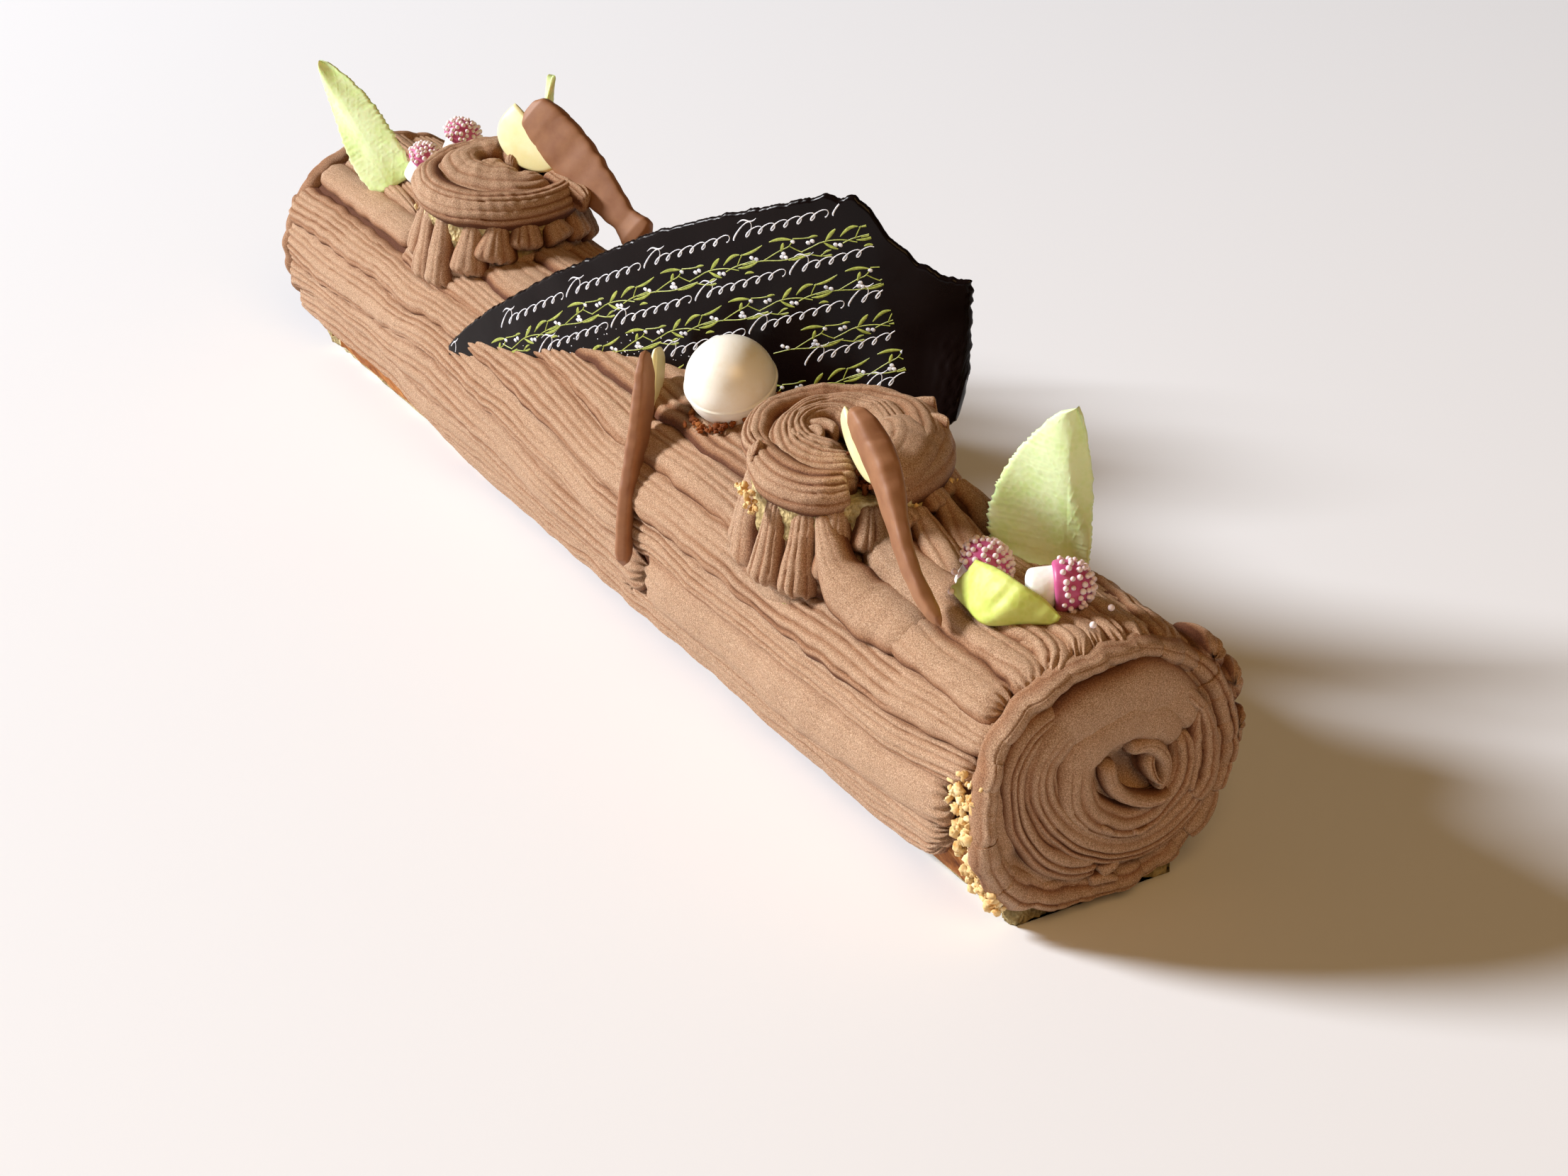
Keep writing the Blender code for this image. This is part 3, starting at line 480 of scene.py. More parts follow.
def log_end(name, node, side, seed, rim=48, step=0.55):
    """The spiral over one end: a ring, a rope wound inwards and smeared at the top, and its torn-off tip."""
    low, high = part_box(node)
    base = low[0] if side > 0 else high[0]

    def spot(a, b, level):
        level = np.asarray(level, float)
        return np.stack(
            [base + side * level * MM, MIDDLE_Y + side * np.asarray(a) * MM, WIDEST + np.asarray(b) * MM], axis=-1
        )

    out = np.array([side, 0.0, 0.0])
    rows = through(RING, 380, 2)
    bm = bmesh.new()
    thin = 1 - 0.30 * ease(rows[:, 1] - 0.6 * rows[:, 0], -6, 22)
    width = rows[:, 3] * thin * (1.08 + 0.16 * wander(seed + 3, 7.0, rows[:, 0], rows[:, 1]))
    level = rows[:, 2] + 0.6 * wander(seed + 4, 7.0, rows[:, 0], rows[:, 1])
    # painted shade: full strength in the ring's grooves, weaker at its edges
    stroke(
        bm, spot(rows[:, 0], rows[:, 1], level - 5.0), out, width * MM, 5.0 * MM, ridges=3, ridge=0.9 * MM,
        rim=rim, seed=seed, ends=(3 * MM, 3 * MM), smooth=rows[:, 4] * 0.7, lumps=0.7 * MM, sunk=2.4 * MM, crown=0.66, lean=0.10, shade_strength=1.0, edge=0.3,
    )
    finish_piece(f"{name}_ring", bm, CREAM, [node])

    bm = bmesh.new()
    for k, (points, ridges, tall, ends, lean) in enumerate(WINDING):
        length = sum(math.dist(p[:2], q[:2]) for p, q in zip(points, points[1:]))
        rows = through(points, max(24, int(length / step)), 2)
        inward = unit(-rows[:, :2] + np.array([4.0, 0.0]))
        tilt = -0.10 * lean
        facing = np.stack([np.full(len(rows), side * 1.0), side * inward[:, 0] * tilt, inward[:, 1] * tilt], axis=-1)
        # painted shade: stronger than elsewhere in the wound rope's grooves, since the end face gets little direct
        # light
        stroke(
            bm, spot(rows[:, 0], rows[:, 1], rows[:, 2] - tall), unit(facing), rows[:, 3] * 1.12 * MM, tall * MM,
            ridges=ridges, ridge=(1.1 if tall > 4.5 else 0.4) * MM, rim=rim if tall > 4.5 else 24, seed=seed + 10 + 7 * k, shade_strength=1.1,
            ends=(ends[0] * MM, ends[1] * MM), smooth=np.clip(rows[:, 4], 0, 1), lumps=(0.3 if tall > 4.5 else 0.55) * MM,
            ragged=1.2 * MM if k == 0 else 0.0,
        )
    finish_piece(f"{name}_spiral", bm, CREAM, [node])

    bm = bmesh.new()
    made, i, j = new_grid(bm, 90, 180)
    turn = 2 * math.pi * j / 180
    front = i <= 78
    share = np.where(front, i / 78, 1 - (i - 78) / 12)
    around = np.array(sorted((math.atan2(b, a), math.hypot(a, b)) for a, b, *_ in RING))
    rim_at = np.interp((turn + math.pi) % (2 * math.pi) - math.pi, around[:, 0], around[:, 1], period=2 * math.pi)
    a, b = share * rim_at * np.cos(turn), share * rim_at * np.sin(turn)
    level = 3.6 + 1.8 * ease(rim_at - share * rim_at, 6, 14) + 0.35 * wander(seed + 30, 6.0, a, b)
    level -= 2.2 * np.exp(-(((a + 23.4) / 3.2) ** 2) - ((b + 15.0) / 5.0) ** 2)
    level -= 4.4 * np.exp(-((np.hypot((a - 5.0), (b - 1.2)) / 6.0) ** 4))
    level += 2.0 * np.exp(-(((np.hypot(a, b) - 26.5) / 2.2) ** 2)) * ease(b, 14, 22)
    for x, y, wide, tall in HOLES:
        level -= 4.5 * np.exp(-(((a - x) / wide) ** 2) - ((b - y) / tall) ** 2)
    level = np.where(front, level, -1.0)
    place_vertices(made, spot(a, b, level))
    groove = bm.verts.layers.float.new("groove")
    bm.verts.ensure_lookup_table()
    finish_piece(f"{name}_bed", bm, CREAM, [node])


# ---- branch stubs ----


def coat_top(y):
    """Height of the coat's top at a distance from the middle line."""
    return WIDEST + COAT_UP * np.sqrt(1 - np.minimum(np.abs(y - MIDDLE_Y), 0.0335) ** 2 / COAT_HALF_WIDTH**2)


def stub_petals(name, node, seat, radius, seed, turned, sweeps):
    """Sixteen short upward strokes round a stub, each pulled off to a point under the swirl, and its longer sweeps."""
    bm = bmesh.new()
    dice = np.random.default_rng(seed)
    for k in range(16):
        angle = 2 * math.pi * (k + turned) / 16 + dice.uniform(-0.05, 0.05)
        away = np.array([math.cos(angle), math.sin(angle)])
        foot_y = seat[1] + radius * away[1]
        foot = float(coat_top(foot_y)) + 0.0008
        top = seat[2] + dice.uniform(-1.4, 1.4) * MM
        share = np.linspace(0, 1, 60)
        height = top - share * (top - foot)
        reach = radius - 6.4 * MM + 3.4 * MM * share**1.2 + dice.uniform(-0.5, 0.5) * MM
        skew = dice.uniform(-0.09, 0.09) * (1 - share)
        path = np.stack([
            seat[0] + reach * np.cos(angle + skew), seat[1] + reach * np.sin(angle + skew), height
        ], axis=-1)
        broad = dice.uniform(-0.5, 0.7)
        wide = (2.7 + (3.3 + broad) * np.clip(share * 1.2, 0, 1) ** 0.9) * MM
        thick = (2.8 + 2.6 * np.sin(np.clip(share * 1.1, 0, 1) * 1.5) ** 1.2) * MM
        stroke(
            bm, path, np.array([*away, 0.12]), wide, thick, ridges=4, ridge=0.62 * MM, rim=40, seed=seed + 9 * k,
            ends=(1.6 * MM, 2.6 * MM), sunk=3.5 * MM, lumps=0.3 * MM, smooth=0.55 * (1 - share), lean=0.08, crown=0.6,
            ragged=0.5 * MM,
        )
    for k, (rows, ridges, tall, ends) in enumerate(sweeps):
        rows = through(rows, 70)
        crest = rows[:, :3] * MM + np.array([0, MIDDLE_Y, 0])
        out = unit(rows[:, 3:6])
        stroke(
            bm, crest - out * tall * MM, out, rows[:, 6] * 1.15 * MM, tall * MM, ridges=ridges, ridge=0.7 * MM, rim=44,
            seed=seed + 200 + 11 * k, ends=(ends[0] * MM, ends[1] * MM), sunk=3.0 * MM, lumps=0.3 * MM,
            smooth=np.clip(rows[:, 7], 0, 1), crown=0.85,
        )
    finish_piece(name, bm, CREAM, [node])


def polar_rows(rows):
    """(degrees, radius, ...) rows as (x, y, ...) rows."""
    return [(r * math.cos(math.radians(d)), r * math.sin(math.radians(d)), *more) for d, r, *more in rows]


def swirl(name, node, seat, strokes, seed):
    """Strokes of a swirl over a stub: crest rows of x, y, top, half width, smoothness and outward slant in millimetres."""
    bm = bmesh.new()
    for k, (rows, ridges, tall, ends) in enumerate(strokes):
        length = sum(math.dist(p[:2], q[:2]) for p, q in zip(rows, rows[1:]))
        rows = through(rows, max(30, int(length / 0.6)), 2)
        crest = np.stack([seat[0] + rows[:, 0] * MM, seat[1] + rows[:, 1] * MM, seat[2] + rows[:, 2] * MM], axis=-1)
        outward = unit(rows[:, :2] + 1e-6)
        slant = rows[:, 5] * np.clip(np.linalg.norm(rows[:, :2], axis=1) / 12, 0, 1)
        out = unit(np.stack([outward[:, 0] * slant, outward[:, 1] * slant, np.ones(len(rows))], axis=-1))
        stroke(
            bm, crest - out * tall * MM, out, rows[:, 3] * MM, tall * MM, ridges=ridges, ridge=(0.85 if tall > 4 else 0.4) * MM,
            rim=54 if tall > 4 else 28, seed=seed + 31 * k, ends=(ends[0] * MM, ends[1] * MM),
            smooth=np.clip(rows[:, 4], 0, 1) * (0.55 if tall > 4 else 1.0), lumps=0.45 * MM, crown=0.5, shade_strength=0.95,
        )
    finish_piece(name, bm, CREAM, [node])


NEAR_SWIRL = [
    (polar_rows([
        (-118, 23.5, 9.6, 3.2, 0.7, 0.7), (-106, 24.8, 8.6, 5.0, 0.6, 1.0), (-92, 25.4, 7.0, 6.0, 0.2, 1.3),
        (-74, 25.6, 6.0, 6.2, 0.0, 1.5), (-56, 25.2, 5.4, 6.2, 0.0, 1.5), (-42, 24.4, 5.6, 6.0, 0.0, 1.4),
        (-31, 23.2, 6.2, 5.4, 0.0, 1.3),
    ]), 5, 5.6, (4.0, 1.6)),
    (polar_rows([
        (-108, 21.4, 7.6, 3.4, 0.2, 0.5), (-124, 24.4, 9.0, 4.4, 0.0, 0.6), (-145, 25.8, 10.4, 4.8, 0.0, 0.6),
        (-170, 26.2, 11.6, 4.8, 0.0, 0.5), (-195, 25.8, 12.2, 4.8, 0.2, 0.4), (-220, 25.2, 12.2, 5.2, 0.5, 0.4),
        (-245, 24.8, 11.8, 6.0, 0.8, 0.45), (-270, 24.2, 10.8, 7.0, 1.0, 0.6), (-298, 23.4, 9.8, 7.8, 1.0, 0.7),
        (-328, 22.2, 8.6, 8.2, 1.0, 0.8), (-355, 21.4, 7.6, 8.0, 1.0, 0.9), (-376, 20.6, 6.6, 6.8, 1.0, 0.9),
    ]), 5, 6.4, (4.0, 6.0)),
    (polar_rows([
        (-20, 15.0, 9.4, 6.4, 0.1, 0.35), (-45, 16.0, 9.4, 7.6, 0.0, 0.45), (-70, 16.4, 9.4, 8.2, 0.0, 0.45),
        (-95, 16.2, 9.8, 7.8, 0.0, 0.4), (-120, 16.0, 10.6, 6.6, 0.0, 0.3), (-145, 16.6, 11.6, 5.6, 0.0, 0.25),
        (-170, 17.6, 12.2, 5.0, 0.0, 0.2), (-195, 18.2, 12.4, 5.0, 0.1, 0.1), (-220, 17.6, 12.4, 5.4, 0.4, 0.1),
        (-245, 15.8, 12.2, 6.2, 0.9, 0.1), (-272, 14.0, 11.8, 6.8, 1.0, 0.1), (-300, 12.0, 11.2, 7.0, 1.0, 0.1),
    ]), 7, 6.6, (4.0, 7.0)),
    ([(7.0, -6.0, 10.2, 4.2, 0.3, 0.1), (1.6, -9.6, 10.6, 5.0, 0.1, 0.2), (-5.6, -11.0, 10.9, 4.8, 0.1, 0.2),
      (-11.6, -8.0, 11.6, 4.0, 0.1, 0.2), (-14.0, -1.6, 12.2, 3.4, 0.3, 0.1), (-11.4, 4.0, 12.4, 3.2, 0.6, 0.1),
      (-6.0, 5.2, 12.2, 3.2, 0.8, 0.1), (-0.6, 3.6, 11.8, 3.2, 0.9, 0.1), (3.2, 0.2, 11.0, 2.6, 1.0, 0.1)], 5, 5.8, (4.0, 3.0)),
    ([(-10.4, -6.6, 10.2, 1.6, 0.8, 0.0), (-8.2, -4.2, 11.6, 2.0, 0.8, 0.0), (-5.0, -2.4, 12.2, 1.8, 0.8, 0.0),
      (-1.6, -2.6, 11.6, 1.2, 0.8, 0.0)], 2, 3.9, (2.0, 1.5)),
    ([(-6.4, -7.6, 10.0, 1.8, 0.9, 0.0), (-4.6, -6.0, 11.8, 1.7, 0.9, 0.0), (-2.2, -6.4, 11.0, 1.0, 0.9, 0.0)], 2, 3.9, (1.5, 1.2)),
    ([(-4.0, 13.0, 11.2, 7.0, 1.0, 0.1), (4.0, 14.6, 12.2, 9.0, 1.0, 0.2), (12.5, 11.4, 12.0, 9.6, 1.0, 0.3),
      (18.6, 4.4, 10.6, 9.0, 1.0, 0.5), (19.6, -3.0, 8.8, 7.4, 1.0, 0.6)], 5, 8.0, (7.0, 7.0)),
    ([(-6.6, -22.4, 8.6, 2.6, 0.8, 0.4), (-5.0, -24.2, 10.6, 1.8, 0.8, 0.2), (-4.2, -25.2, 11.8, 0.5, 0.8, 0.0)], 1, 3.9, (2.0, 0.8)),
    ([(-10.0, 23.0, 10.6, 3.0, 0.8, 0.2), (-6.0, 26.0, 11.6, 2.2, 0.9, 0.2), (-2.0, 28.4, 12.4, 0.5, 1.0, 0.1)], 1, 3.9, (2.0, 0.8)),
    ([(2.0, 22.0, 11.0, 2.4, 0.9, 0.2), (6.0, 24.0, 11.4, 1.6, 0.9, 0.2), (9.0, 24.4, 11.4, 0.5, 1.0, 0.1)], 1, 3.0, (2.0, 0.8)),
]
FAR_SWIRL = [
    (polar_rows([
        (62, 24.0, 6.6, 4.4, 0.4, 0.8), (30, 25.6, 6.2, 5.4, 0.1, 1.1), (0, 26.0, 6.0, 5.8, 0.0, 1.3), (-30, 26.0, 6.0, 6.0, 0.0, 1.5),
        (-60, 26.0, 6.2, 6.0, 0.0, 1.5), (-90, 26.0, 7.0, 6.0, 0.0, 1.4), (-120, 26.0, 8.0, 5.8, 0.1, 1.1),
        (-150, 25.6, 9.4, 5.8, 0.2, 0.8), (-180, 25.0, 10.4, 6.2, 0.5, 0.6), (-210, 24.0, 10.8, 6.8, 0.9, 0.5),
        (-240, 23.0, 10.2, 7.2, 0.9, 0.5), (-270, 22.4, 9.0, 7.0, 0.8, 0.6), (-295, 21.6, 7.8, 6.0, 0.6, 0.6),
    ]), 5, 6.0, (5.0, 5.0)),
    ([(12.0, 12.0, 9.4, 7.0, 0.9, 0.5), (15.0, 3.0, 9.6, 8.4, 0.9, 0.5), (9.0, -8.0, 10.0, 9.4, 0.95, 0.5),
      (-2.0, -13.4, 10.6, 9.4, 1.0, 0.5), (-13.0, -10.5, 11.4, 8.6, 1.0, 0.4), (-17.6, 0.0, 12.2, 7.6, 1.0, 0.3),
      (-13.5, 8.4, 12.4, 6.0, 1.0, 0.2), (-6.5, 8.6, 12.2, 4.0, 1.0, 0.1), (-2.6, 4.6, 11.2, 2.4, 1.0, 0.1)], 6, 7.6, (6.0, 2.0)),
    ([(5.0, 2.0, 9.6, 5.4, 1.0, 0.1), (-3.0, -1.0, 10.2, 6.0, 1.0, 0.1), (-10.0, -1.6, 11.4, 5.4, 1.0, 0.1)], 4, 6.0, (4.0, 4.0)),
    ([(-2.0, 14.5, 9.6, 4.2, 0.8, 0.1), (-7.5, 13.0, 11.4, 4.0, 0.9, 0.1), (-11.5, 10.5, 12.6, 1.6, 1.0, 0.0)], 3, 4.4, (3.0, 1.5)),
    ([(8.0, 14.0, 8.6, 4.2, 0.4, 0.4), (18.0, 15.5, 8.0, 4.6, 0.2, 0.5), (25.0, 16.0, 7.0, 3.4, 0.2, 0.5), (29.0, 15.6, 6.0, 1.2, 0.4, 0.4)],
     4, 4.8, (3.0, 2.0)),
]
# Longer strokes that run from a stub down on to the coat: crest, the way it faces, half width and how smooth
NEAR_SWEEPS = [
    ([(126.5, -30.2, 77.4, 0.3, -0.9, 0.3, 2.2, 0.6), (130.5, -31.4, 73.0, 0.3, -0.8, 0.5, 3.8, 0.5),
      (136.0, -32.4, 67.4, 0.2, -0.75, 0.65, 5.4, 0.5), (144.0, -31.6, 64.0, 0.0, -0.7, 0.7, 6.6, 0.7),
      (154.0, -29.6, 63.4, 0.0, -0.65, 0.75, 6.8, 0.8), (166.0, -28.0, 63.6, 0.0, -0.6, 0.8, 6.0, 0.8)], 4, 4.6, (1.6, 8.0)),
    ([(128.6, -16.0, 78.0, 0.6, -0.6, 0.4, 2.4, 0.6), (133.6, -18.6, 75.0, 0.5, -0.5, 0.7, 4.2, 0.6),
      (140.0, -19.6, 71.8, 0.3, -0.5, 0.8, 5.8, 0.7), (150.0, -19.4, 70.0, 0.1, -0.5, 0.86, 6.6, 0.8),
      (160.0, -19.2, 69.6, 0.0, -0.5, 0.86, 6.4, 0.8), (170.0, -18.6, 69.4, 0.0, -0.5, 0.86, 5.2, 0.8)], 4, 4.6, (1.6, 8.0)),
    ([(136.0, -6.4, 77.0, 0.8, -0.1, 0.5, 2.0, 0.5), (141.0, -7.0, 74.6, 0.5, -0.2, 0.85, 3.8, 0.3),
      (149.0, -9.0, 73.0, 0.2, -0.2, 0.95, 4.6, 0.3), (158.0, -11.5, 71.8, 0.0, -0.3, 0.95, 4.0, 0.4)], 3, 3.8, (1.6, 5.0)),
    ([(134.6, 2.4, 77.0, 0.8, 0.2, 0.5, 2.0, 0.5), (140.0, 2.4, 74.8, 0.5, 0.1, 0.85, 3.8, 0.3),
      (148.0, 0.6, 73.6, 0.2, 0.0, 0.98, 4.4, 0.3), (157.0, -1.8, 72.8, 0.0, 0.0, 1.0, 3.8, 0.4)], 3, 3.8, (1.6, 5.0)),
    ([(128.4, 11.6, 77.0, 0.6, 0.5, 0.5, 2.0, 0.5), (133.6, 13.6, 74.6, 0.4, 0.4, 0.85, 3.8, 0.3),
      (141.5, 12.6, 73.0, 0.2, 0.2, 0.95, 4.6, 0.3), (150.0, 10.6, 72.2, 0.0, 0.15, 0.98, 4.0, 0.4)], 3, 3.8, (1.6, 5.0)),
]


def stub(which, strokes, seed, turned, sweeps):
    """A branch stub's petals and swirl, and the sponge that shows between them."""
    low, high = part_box(f"{which}_stub_swirl")
    seat = ((low[0] + high[0]) / 2, (low[1] + high[1]) / 2, low[2])
    radius = (high[0] - low[0]) / 2
    stub_petals(f"{which}_petals", f"{which}_stub_petals", seat, radius, seed, turned, sweeps)
    swirl(f"{which}_swirl", f"{which}_stub_swirl", seat, strokes, seed + 300)
    bm = bmesh.new()
    made, i, j = new_grid(bm, 96, 150)
    turn = 2 * math.pi * j / 150
    out = np.interp(i, [0, 14, 82, 96], [0.0, 1.0, 1.0, 0.0]) * (radius - 4.4 * MM)
    foot = coat_top(seat[1] + (radius - 5 * MM) * np.sin(turn)) - 0.004
    z = np.interp(i, [0, 14, 82, 96], [0.0, 0.0, 1.0, 1.0]) * (seat[2] + 0.002 - foot) + foot
    x, y = np.cos(turn), np.sin(turn)
    rough = 0.8 * MM * wander(seed + 50, 0.006, out * x, out * y, z) + 0.5 * MM * wander(seed + 51, 0.0022, out * x, out * y, z)
    out = out + rough * ease(i, 6, 16) * (1 - ease(i, 84, 94))
    place_vertices(made, np.stack([seat[0] + out * x, seat[1] + out * y, z], axis=-1))
    finish_piece(f"{which}_core", bm, CRUMB, [f"{which}_stub_core"])
    bm = bmesh.new()
    made, i, j = new_grid(bm, 40, 120)
    turn = 2 * math.pi * j / 120
    across = np.interp(i, [0, 6, 14, 32, 40], [0.0, 1.0, 1.06, 0.93, 0.80]) * (radius - 4.2 * MM)
    foot = coat_top(seat[1] + (radius - 5 * MM) * np.sin(turn)) - 0.005
    top = seat[2] - 5.5 * MM + 1.4 * MM * wander(seed + 60, 0.007, across * np.cos(turn), across * np.sin(turn))
    share = np.interp(i, [0, 6, 34, 40], [0.0, 0.02, 1.0, 1.0])
    z = foot + share * (top - foot)
    across = across + 0.5 * MM * wander(seed + 61, 0.006, across * np.cos(turn), across * np.sin(turn), z) * ease(i, 4, 10)
    place_vertices(made, np.stack([seat[0] + across * np.cos(turn), seat[1] + across * np.sin(turn), z], axis=-1))
    bmesh.ops.remove_doubles(bm, verts=bm.verts, dist=1e-6)
    bmesh.ops.holes_fill(bm, edges=[edge for edge in bm.edges if edge.is_boundary])
    finish_piece(f"{which}_petal_bed", bm, CREAM, [f"{which}_stub_petals"])


# ---- sponge ----


def sponge():
    """The rolled sheet of sponge: browned skin outside, torn crumb at both ends and along the foot."""
    bm = bmesh.new()
    made, i, j = new_grid(bm, 138 + 24, 160)
    capped = np.clip(i - 12, 0, 138)
    lane = np.concatenate([np.linspace(-1, -0.9, 40), np.linspace(-0.895, 0.895, 59), np.linspace(0.9, 1, 40)])
    x = lane[capped] * HALF_LENGTH
    share = np.clip(np.minimum(i, 162 - i) / 12, 0, 1)
    turn = 2 * math.pi * j / 160
    y = 0.0322 * np.cos(turn)
    z = np.where(np.sin(turn) > 0, 0.0290, 0.0520) * np.sin(turn)
    rough = 0.5 * MM * wander(5, 0.007, x, 40 * y, 40 * z) + 0.5 * MM * wander(6, 0.0024, x, y, z)
    tear = ease(np.abs(x), HALF_LENGTH - 0.014, HALF_LENGTH - 0.004)
    rough = rough * (0.5 + 1.6 * tear)
    away = unit(np.stack([y, z], axis=-1) + 1e-9)
    y = y * share + away[:, 0] * rough * ease(share, 0.6, 1)
    z = z * share + away[:, 1] * rough * ease(share, 0.6, 1)
    z = np.maximum(WIDEST + z, 0.0)
    end = np.where(share < 1, 1.2 * MM * wander(8, 0.008, y, z) + 0.6 * MM * wander(9, 0.0025, y, z), 0)
    place_vertices(made, np.stack([x + np.sign(x) * (end - 1 * MM * (share < 1)), y + MIDDLE_Y, z], axis=-1))
    bmesh.ops.remove_doubles(bm, verts=bm.verts, dist=1e-6)
    for face in bm.faces:
        spot = face.calc_center_median()
        near_end = abs(spot.x) > HALF_LENGTH - 0.0075 + 0.002 * math.sin(900 * spot.z + 700 * spot.y)
        face.material_index = 1 if near_end or spot.z < 0.0016 else 0
    finish_piece("sponge_sheet", bm, [SKIN, CRUMB], ["sponge_roll"])


coat_bed()
coat_ropes()
log_end("near_end", "cream_end_near", 1, 500)
log_end("far_end", "cream_end_far", -1, 700, rim=36, step=0.9)
stub("near", NEAR_SWIRL, 900, 0.25, NEAR_SWEEPS)
stub("far", FAR_SWIRL, 1300, 0.62, [])
sponge()

# ---- toppings ----


def frame_of(origin, along, side):
    """Matrix that lays local X along a direction and local Y as near as it can to a second one."""
    x = Vector(along).normalized()
    z = x.cross(Vector(side)).normalized()
    turn = Matrix((x, z.cross(x), z)).transposed().to_4x4()
    return Matrix.Translation(origin) @ turn


def settle(bm, node):
    """Moves a mesh until the middle of its box is the middle of its CAD node's."""
    points = np.array([v.co for v in bm.verts])
    middle = (points.min(axis=0) + points.max(axis=0)) / 2
    bmesh.ops.translate(bm, verts=bm.verts, vec=middle_of(node) - Vector(middle))


def dark_chocolate():
    """Tempered dark couverture, poured on a print foil: nearly black, and glossy where the foil was."""
    made, tree, shader = new_material("tempered dark couverture", IOR=1.5, Specular_IOR_Level=0.12)
    place = add_node(tree, "ShaderNodeTexCoord").outputs["Object"]
    bloom = add_node(tree, "ShaderNodeTexNoise", None, Vector=place, Scale=45.0, Detail=4.0)
    colour = shades(tree, bloom.outputs["Fac"], (0.35, "100807"), (0.65, "160D0C"))
    tree.links.new(colour, shader.inputs["Base Color"])
    haze = add_node(tree, "ShaderNodeMapRange", None, n0=bloom.outputs["Fac"], n3=0.16, n4=0.34)
    tree.links.new(haze.outputs[0], shader.inputs["Roughness"])
    ripple = add_node(tree, "ShaderNodeTexNoise", None, Vector=place, Scale=110.0, Detail=2.0)
    bump = add_node(tree, "ShaderNodeBump", None, Strength=0.25, Distance=0.0005, Height=ripple.outputs["Fac"])
    tree.links.new(bump.outputs["Normal"], shader.inputs["Normal"])
    return made


def printed(name, low, high):
    """Coloured cocoa butter, printed on the chocolate through a foil: flat, opaque and a little patchy."""
    made, tree, shader = new_material(name, Roughness=0.42, Specular_IOR_Level=0.4)
    place = add_node(tree, "ShaderNodeTexCoord").outputs["Object"]
    patch = add_node(tree, "ShaderNodeTexNoise", None, Vector=place, Scale=900.0, Detail=3.0)
    tree.links.new(shades(tree, patch.outputs["Fac"], (0.35, low), (0.6, high)), shader.inputs["Base Color"])
    return made


def pearl_lustre():
    """White chocolate shell brushed with pearl dust: cream, satiny, with a faint metallic sheen."""
    made, tree, shader = new_material(
        "pearl-dusted white chocolate", Roughness=0.36, Specular_IOR_Level=0.6, Coat_Weight=0.15, Coat_Roughness=0.3
    )
    shader.inputs["Metallic"].default_value = 0.05
    place = add_node(tree, "ShaderNodeTexCoord").outputs["Object"]
    dust = add_node(tree, "ShaderNodeTexNoise", None, Vector=place, Scale=140.0, Detail=6.0, Roughness=0.65)
    colour = shades(tree, dust.outputs["Fac"], (0.25, "F6ECD4"), (0.5, "FFFBEE"))
    tree.links.new(colour, shader.inputs["Base Color"])
    bump = add_node(tree, "ShaderNodeBump", None, Strength=0.12, Distance=0.0003, Height=dust.outputs["Fac"])
    tree.links.new(bump.outputs["Normal"], shader.inputs["Normal"])
    return made


def moulded_chocolate(name, low, high, roughness):
    """Moulded chocolate: even, satiny, with the faint bloom of handling."""
    made, tree, shader = new_material(name, Specular_IOR_Level=0.45, Subsurface_Weight=0.05, Subsurface_Scale=0.001)
    place = add_node(tree, "ShaderNodeTexCoord").outputs["Object"]
    bloom = add_node(tree, "ShaderNodeTexNoise", None, Vector=place, Scale=170.0, Detail=5.0, Roughness=0.6)
    tree.links.new(shades(tree, bloom.outputs["Fac"], (0.32, low), (0.68, high)), shader.inputs["Base Color"])
    haze = add_node(tree, "ShaderNodeMapRange", None, n0=bloom.outputs["Fac"], n3=roughness - 0.08, n4=roughness + 0.1)
    tree.links.new(haze.outputs[0], shader.inputs["Roughness"])
    bump = add_node(tree, "ShaderNodeBump", None, Strength=0.15, Distance=0.0003, Height=bloom.outputs["Fac"])
    tree.links.new(bump.outputs["Normal"], shader.inputs["Normal"])
    return made


def sugar_paste(name, low, high):
    """Rolled sugar paste, coloured green: matt, slightly waxy and speckled by its starch."""
    made, tree, shader = new_material(
        name, Roughness=0.5, Specular_IOR_Level=0.35, Subsurface_Weight=0.15, Subsurface_Scale=0.003
    )
    place = add_node(tree, "ShaderNodeTexCoord").outputs["Object"]
    cloud = add_node(tree, "ShaderNodeTexNoise", None, Vector=place, Scale=120.0, Detail=4.0)
    speck = add_node(tree, "ShaderNodeTexVoronoi", None, Vector=place, Scale=700.0)
    both = add_node(tree, "ShaderNodeMath", {"operation": "MULTIPLY_ADD"}, n0=speck.outputs["Distance"], n1=0.25, n2=cloud.outputs["Fac"])
    tree.links.new(shades(tree, both.outputs[0], (0.42, low), (0.72, high)), shader.inputs["Base Color"])
    bump = add_node(tree, "ShaderNodeBump", None, Strength=0.2, Distance=0.0003, Height=speck.outputs["Distance"])
    tree.links.new(bump.outputs["Normal"], shader.inputs["Normal"])
    return made


